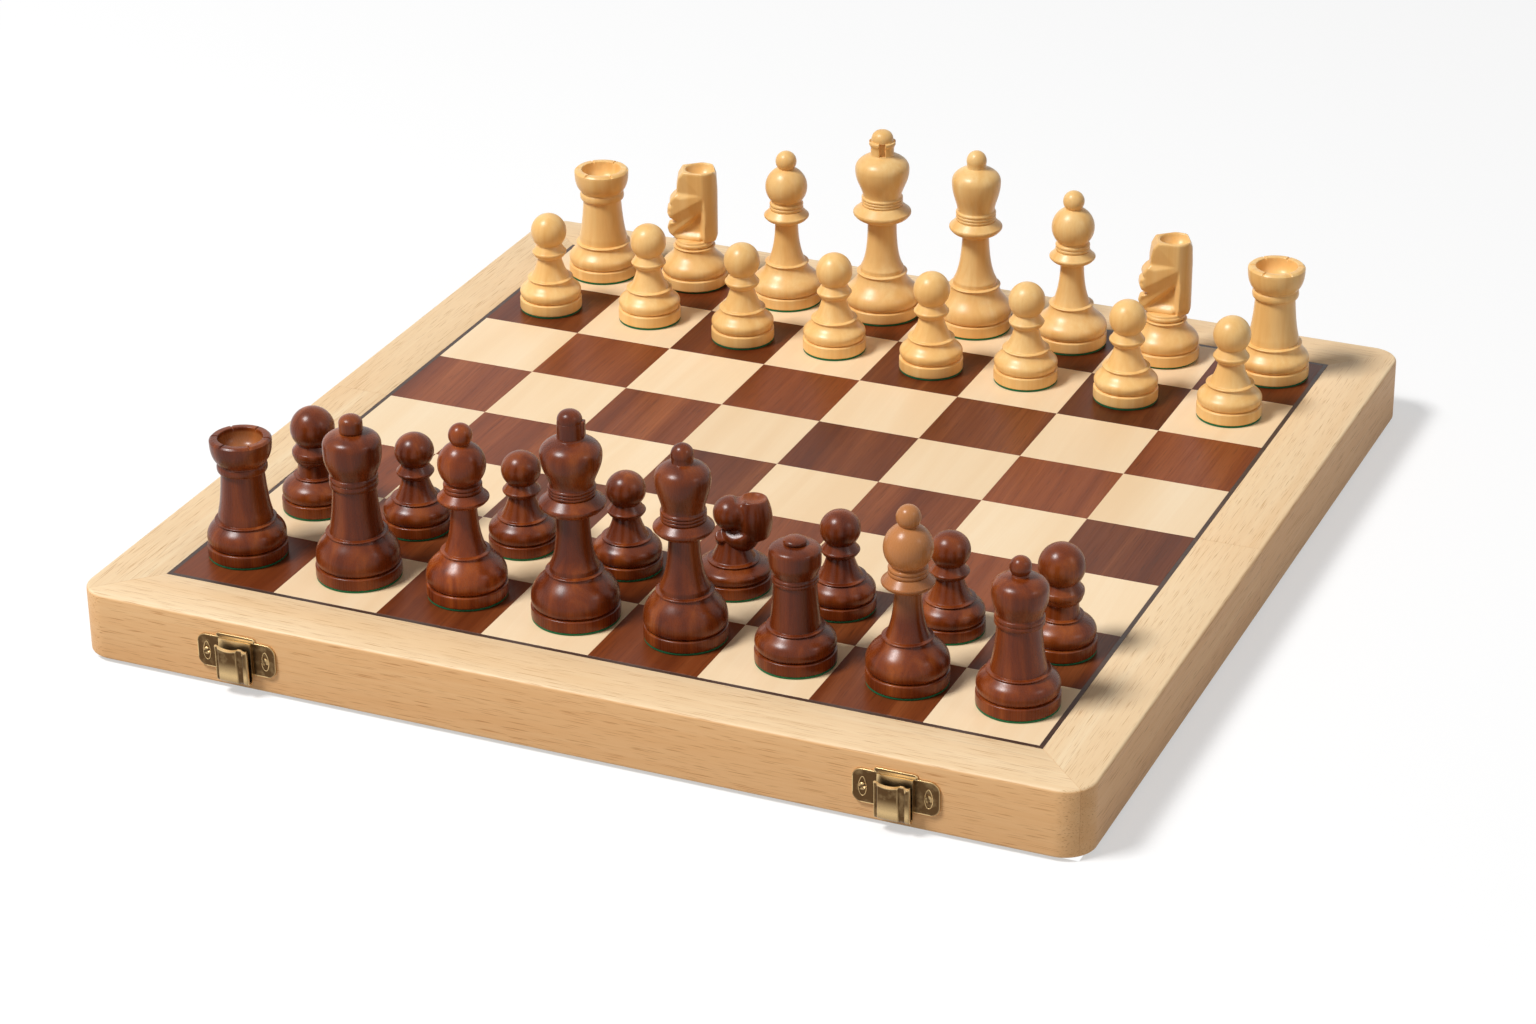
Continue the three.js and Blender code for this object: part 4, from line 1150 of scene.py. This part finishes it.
CAPPED = {
    "tall_capped_man": (
        (18.8, 18.4, 13.1, 21), (10, 8, 9.6, 21, 1), (10.6, 5), (12.7, 11, 2.5, 6, 11.8), (5.2, 4, 3.5)
    ),
    "short_capped_man": (
        (17.6, 17.4, 13, 16), (9.8, 8, 9.3, 20, 1), (10.4, 4), (11.8, 9.5, 1.5, 6, 9.5), (4.3, 4, 4.3), 4.6
    ),
    "flat_capped_man": (
        (17.4, 17.2, 12, 16.5), (9.6, 8, 9, 19.5, 1), (9.8, 3), (11, 6.2, 4, 3.6, 10.8), (5, 0.8, 1.6)
    ),
}
CARVED = {"king": slotted, "rook": notched}
FINE = {"rook": 192, "king": 128}
PALER = "dark_bishop_f8"
PALER_TONE = 1.4
LEAN = {"light": 2.4, "dark": 0.9}
TALLER = {"light_pawn": 1.03, "dark_pawn": 0.94, "light_queen": 1.03, "dark_bishop": 1.02}
OUTLINES = {made.__name__: made for made in (pawn, collared_pawn, bishop, rook, queen, king)}


def base_of(node):
    """Middle of a man's foot, in metres."""
    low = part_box(node)[0].z
    spots = [v.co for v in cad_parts[node].data.vertices if v.co.z < low + 3 * MM]
    xs, ys = [spot.x for spot in spots], [spot.y for spot in spots]
    return Vector(((min(xs) + max(xs)) / 2, (min(ys) + max(ys)) / 2, low))


# ---- carved knights
# A knight's head is carved as a solid given by a formula: below 0 inside it, above 0 outside.
# x runs from the nose to the mane, y away from the viewer, z up from the foot.

KNIGHT_TURN = math.radians(24)
GRID = 0.45
HEAD_FOOT = 23.6
HEAD_PROFILE = [
    (-5.2, 61.2), (-7.4, 58), (-8.3, 53), (-8.4, 49.2), (-11.5, 46), (-12.1, 44), (-11.2, 42.7),
    (-13, 41.2), (-13.3, 38.6), (-12.2, 36), (-8.8, 33.9), (-12.4, 32.8), (-13.4, 30), (-12.6, 27.2),
    (-9.6, 24.4), (-8, HEAD_FOOT), (10.8, HEAD_FOOT), (12, 26.5), (12.1, 50), (11.7, 58), (10, 61.2),
]


def soft_max(one, two, ease):
    """Larger of two fields, with the edge between them eased."""
    share = np.clip(0.5 + 0.5 * (one - two) / ease, 0, 1)
    return two + (one - two) * share + ease * share * (1 - share)


def soft_min(one, two, ease):
    return -soft_max(-one, -two, ease)


def inside_polygon(points, x, z):
    """Distance from a closed outline in x and z, below 0 inside it."""
    nearest = np.full(x.shape, 1e9)
    inside = np.zeros(x.shape, bool)
    for (x0, z0), (x1, z1) in zip(points, points[1:] + points[:1]):
        dx, dz = x1 - x0, z1 - z0
        share = np.clip(((x - x0) * dx + (z - z0) * dz) / (dx * dx + dz * dz), 0, 1)
        nearest = np.minimum(nearest, np.hypot(x - x0 - dx * share, z - z0 - dz * share))
        if z0 != z1:
            crossed = ((z0 > z) != (z1 > z)) & (x < x0 + (z - z0) * dx / dz)
            inside ^= crossed
    return np.where(inside, -nearest, nearest)


def ellipsoid(x, y, z, centre, radii):
    scaled = np.sqrt(sum(((v - c) / r) ** 2 for v, c, r in zip((x, y, z), centre, radii)))
    return (scaled - 1) * min(radii)


def below(x, z, start, end):
    """Distance below the line from start to end in x and z."""
    dx, dz = end[0] - start[0], end[1] - start[1]
    return ((x - start[0]) * dz - (z - start[1]) * dx) / math.hypot(dx, dz)


def step(value, low, high):
    share = np.clip((value - low) / (high - low), 0, 1)
    return share * share * (3 - 2 * share)


def light_head(x, y, z):
    """Long head with a facetted cheek, a hollow under the jaw and a dished crown."""
    side = np.abs(y)
    mane = 9.3 * np.sqrt(np.clip(1 - (np.clip(x - 2, 0, None) / 10.6) ** 2, 0.02, 1))
    muzzle = 9.0 - (4.2 - x) * 0.30
    ridge = 4.8 - (z - 49) * 0.34
    forehead = np.maximum(9.25 - (ridge - x) * 0.46, 3.4)
    brow = forehead + np.clip(49.6 - z, 0, None) * 0.75
    reach = np.minimum(mane, np.minimum(muzzle, brow))
    cheek = below(x, z, (-13, 36.5), (5, 48.5))
    reach = reach - 0.40 * np.clip(cheek, 0, 6) * step(5.4 - x, 0, 1.2)
    jaw = below(x, z, (-9.5, 28.5), (4, 41.5))
    hollow = step(jaw, 0, 3.2) * step(4.4 - x, 0, 1.4) * step(z, 24.5, 29)
    reach = reach - 2.9 * hollow + 1.2 * step(jaw, 5, 11) * step(4.4 - x, 0, 2)
    rear = step(x, 5.2, 6.2) * step(9.6 - x, 0, 2.4) * step(36 - z, 0, 6)
    reach = np.minimum(reach, mane + 0.2) - 0.5 * rear
    reach = reach * (1 - 0.14 * step(27 - z, 0, 3.4))
    solid = soft_max(inside_polygon(HEAD_PROFILE, x, z), (side - reach) * 0.9, 0.9)
    nostril = ellipsoid(x, side, z, (-13.2, 4.2, 39.6), (1.1, 1.3, 1.2))
    crown = ellipsoid(x, y, z, (3.8, 0, 64.0), (8.0, 7.4, 9.0))
    solid = soft_max(solid, -nostril, 0.5)
    return soft_max(solid, -crown, 0.35)


def facing(x, y, z, normal, point):
    """Distance in front of a plane."""
    return sum((v - p) * n for v, p, n in zip((x, y, z), point, normal))


def dark_head(x, y, z):
    """Ball of a forelock in front of a thick dished barrel, over a short chest with a boss."""
    swell = 8.4 - 2.4 * ((z - 32) / 10) ** 2
    barrel = soft_max((np.hypot(x - 8.6, y) - swell) * 0.95, 23.6 - z, 1.2)
    barrel = soft_max(barrel, z - 42.0, 0.3)
    forelock = ellipsoid(x, y, z, (-1.1, 0, 35), (7.6, 8.2, 7.6))
    chest = ellipsoid(x, y, z, (3.2, 0, 25), (8.5, 8.4, 8.0))
    chest = soft_max(chest, facing(x, y, z, (-0.28, -0.62, 0.73), (1.2, -3.9, 29.5)), 0.3)
    axis, spot = (-0.05, -0.70, 0.71), (-4.9, -3.0, 25.4)
    front = facing(x, y, z, axis, spot)
    apart = (x - spot[0]) ** 2 + (y - spot[1]) ** 2 + (z - spot[2]) ** 2
    away = np.sqrt(np.clip(apart - front ** 2, 0, None))
    boss = soft_max(away - 3.0, np.maximum(front - 0.9, -front - 5), 0.4)
    dish = ellipsoid(x, y, z, (8.6, 0, 43.4), (5.9, 5.9, 3.4))
    cleft = np.hypot(x - 2.7, z - 42.6) - 2.0
    solid = soft_min(barrel, forelock, 1.8)
    solid = soft_max(solid, -cleft, 0.5)
    solid = soft_min(solid, chest, 0.5)
    return soft_min(soft_max(solid, -dish, 0.3), boss, 0.3)


def carved(field, low, high):
    """Surface of a field in the box between two corners, smoothed, and turned on the man's foot."""
    bm = bmesh.new()
    axes = [np.arange(a, b, GRID) for a, b in zip(low, high)]
    x, y, z = np.meshgrid(*axes, indexing="ij")
    grid = openvdb.FloatGrid(2.0)
    grid.copyFromArray(np.clip(field(x, y, z), -2, 2).astype(np.float32))
    points, quads = grid.convertToQuads(0.0)
    corners = [bm.verts.new(point) for point in points * GRID + np.array(low)]
    for quad in quads:
        bm.faces.new([corners[n] for n in quad])
    every_way = {"use_axis_" + axis: True for axis in "xyz"}
    for _ in range(3):
        bmesh.ops.smooth_vert(bm, verts=bm.verts, factor=0.5, **every_way)
    bmesh.ops.transform(bm, matrix=Matrix.Rotation(KNIGHT_TURN, 4, "Z"), verts=bm.verts)
    return bm


def knight(side):
    if side == "light":
        made = foot(LEAN[side], 17, 16.6, 10.1, 20)
        made.to(9.2, 0.2).bead(0.6, 2.0).to(8.9, 1.2)
        head = carved(light_head, (-15, -11, 22), (14, 11, 63))
    else:
        made = foot(LEAN[side], 16.5, 16.2, 11, 13.5)
        made.to(9.4, 0.3).bend((8.4, 2.2), (6.6, 5.5), (6.0, 9.5))
        head = carved(dark_head, (-11, -11, 16), (19, 11, 45))
    bm = lathe(made.to(0, 0).softened())
    joined(bm, head)
    return bm


KNIGHT_FELT = 16.2
FELT_ROUND = 0.25
FELT_GAP = 0.02
MEN_TONES = (0.94, 1.06)
ROOK_CUP_Z = 47
ROOK_CUP_RADIUS = 9.6
SAPWOOD_FOOT = 30
SAPWOOD_RISE = 26


def sapwood_at(node, kind, radius, z):
    """Share of pale sapwood: in the bottom of the rooks' cups, and at the head of one bishop."""
    if kind == "rook":
        return 0.4 * float(z > ROOK_CUP_Z and radius < ROOK_CUP_RADIUS)
    if node == "dark_bishop_b8":
        return 0.85 * min(1.0, max(0.0, (z - SAPWOOD_FOOT) / SAPWOOD_RISE))
    return 0.0


def man(node):
    """Shows a man and the baize disc under it. The node's name gives its side, its kind and its square."""
    side, rest = node.split("_", 1)
    kind = rest.rsplit("_", 1)[0]
    base = Matrix.Translation(base_of(node))
    if kind == "knight":
        bm = knight(side)
        radius = KNIGHT_FELT
    else:
        lean = LEAN[side]
        outline = OUTLINES[kind](lean) if kind in OUTLINES else capped(lean, *CAPPED[kind])
        bm = lathe(outline.softened(), CARVED.get(kind), side, FINE.get(kind, SEGMENTS))
        if (side, kind) == ("dark", "king"):
            tooth(bm)
        tall = TALLER.get(side + "_" + kind, 1.0)
        bmesh.ops.scale(bm, vec=(1, 1, tall), space=Matrix.Translation((0, 0, -FELT)), verts=bm.verts)
        radius = outline.points[1][0] + 0.2
    sap = [sapwood_at(node, kind, math.hypot(v.co.x, v.co.y), v.co.z) for v in bm.verts]
    mesh = mesh_of(node, bm, BOXWOOD if side == "light" else ROSEWOOD, place=base)
    tone = random.uniform(*MEN_TONES) * (PALER_TONE if node == PALER else 1.0)
    grained(mesh, "z", tone, base)
    put(mesh, "sap", sap)
    show(node + "_wood", mesh, node + "_man", side + "_men", node)
    top = FELT - FELT_GAP
    disc = lathe([(0, 0), (radius - 0.2, 0), (radius, FELT_ROUND), (radius, top), (0, top)])
    show(node + "_felt", mesh_of(node + "_felt", disc, BAIZE, place=base), node + "_man", "baize")


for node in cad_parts:
    if node.startswith(("light_", "dark_")):
        man(node)

# ---- studio

FILL = 0.20
FLOOR_GREY = 0.50
FLOOR_LIFT = 0.50
FLOOR_HALF = 6.0
FLOOR_UNDER = 0.004


def seen_by(made):
    """1 for the rays that should find the white background: camera, mirror and glass rays."""
    path = made.add("ShaderNodeLightPath").outputs
    most = made.math("MAXIMUM", path["Is Camera Ray"], path["Is Glossy Ray"])
    return made.math("MAXIMUM", most, path["Is Transmission Ray"])


def make_world():
    """Grey light for the wood, white for the background and for reflections."""
    made = Shades(bpy.data.worlds.new("studio"))
    grey, white = [
        made.add("ShaderNodeBackground", {"Color": WHITE, "Strength": strength}).outputs[0]
        for strength in (FILL, 1.0)
    ]
    mix = made.add("ShaderNodeMixShader", {0: seen_by(made), 1: grey, 2: white})
    made.add("ShaderNodeOutputWorld", {"Surface": mix.outputs[0]})
    bpy.context.scene.world = made.holder


def lamp(name, direction, distance, size, energy):
    """Soft box that faces the middle of the board."""
    data = bpy.data.lights.new(name, "AREA")
    data.shape = "RECTANGLE"
    data.size, data.size_y = size
    data.energy = energy
    made = placed(name, data)
    made.location = direction.normalized() * distance
    made.rotation_euler = (-made.location).to_track_quat("-Z", "Y").to_euler()


def make_floor():
    """White floor with a hole under the board, where the near half hangs when it is folded."""
    made = Shades(bpy.data.materials.new("floor_white"))
    grey = (FLOOR_GREY, FLOOR_GREY, FLOOR_GREY, 1.0)
    diffuse = made.add("ShaderNodeBsdfDiffuse", {"Color": grey})
    strength = made.math("MULTIPLY", seen_by(made), FLOOR_LIFT)
    lift = made.add("ShaderNodeEmission", {"Color": WHITE, "Strength": strength})
    both = made.add("ShaderNodeAddShader", {0: diffuse.outputs[0], 1: lift.outputs[0]})
    made.add("ShaderNodeOutputMaterial", {"Surface": both.outputs[0]})
    bm = bmesh.new()
    rings = []
    for half in (FLOOR_HALF, OUTER * MM - FLOOR_UNDER):
        corners = ((-half, -half), (half, -half), (half, half), (-half, half))
        rings.append([bm.verts.new((x, y, 0)) for x, y in corners])
    bridge(bm, rings)
    placed("floor", mesh_of("floor", bm, made.holder, scale=1.0))


bpy.context.scene.view_settings.view_transform = "Standard"
make_world()
make_floor()
lamp("key", LEVEL * -0.60 + AHEAD * -0.24 + UP, 5.0, (1.32, 1.18), 238)
lamp("side", LEVEL * 0.9 + AHEAD * -0.55 + UP * 0.75, 2.6, (0.5, 0.5), 4)
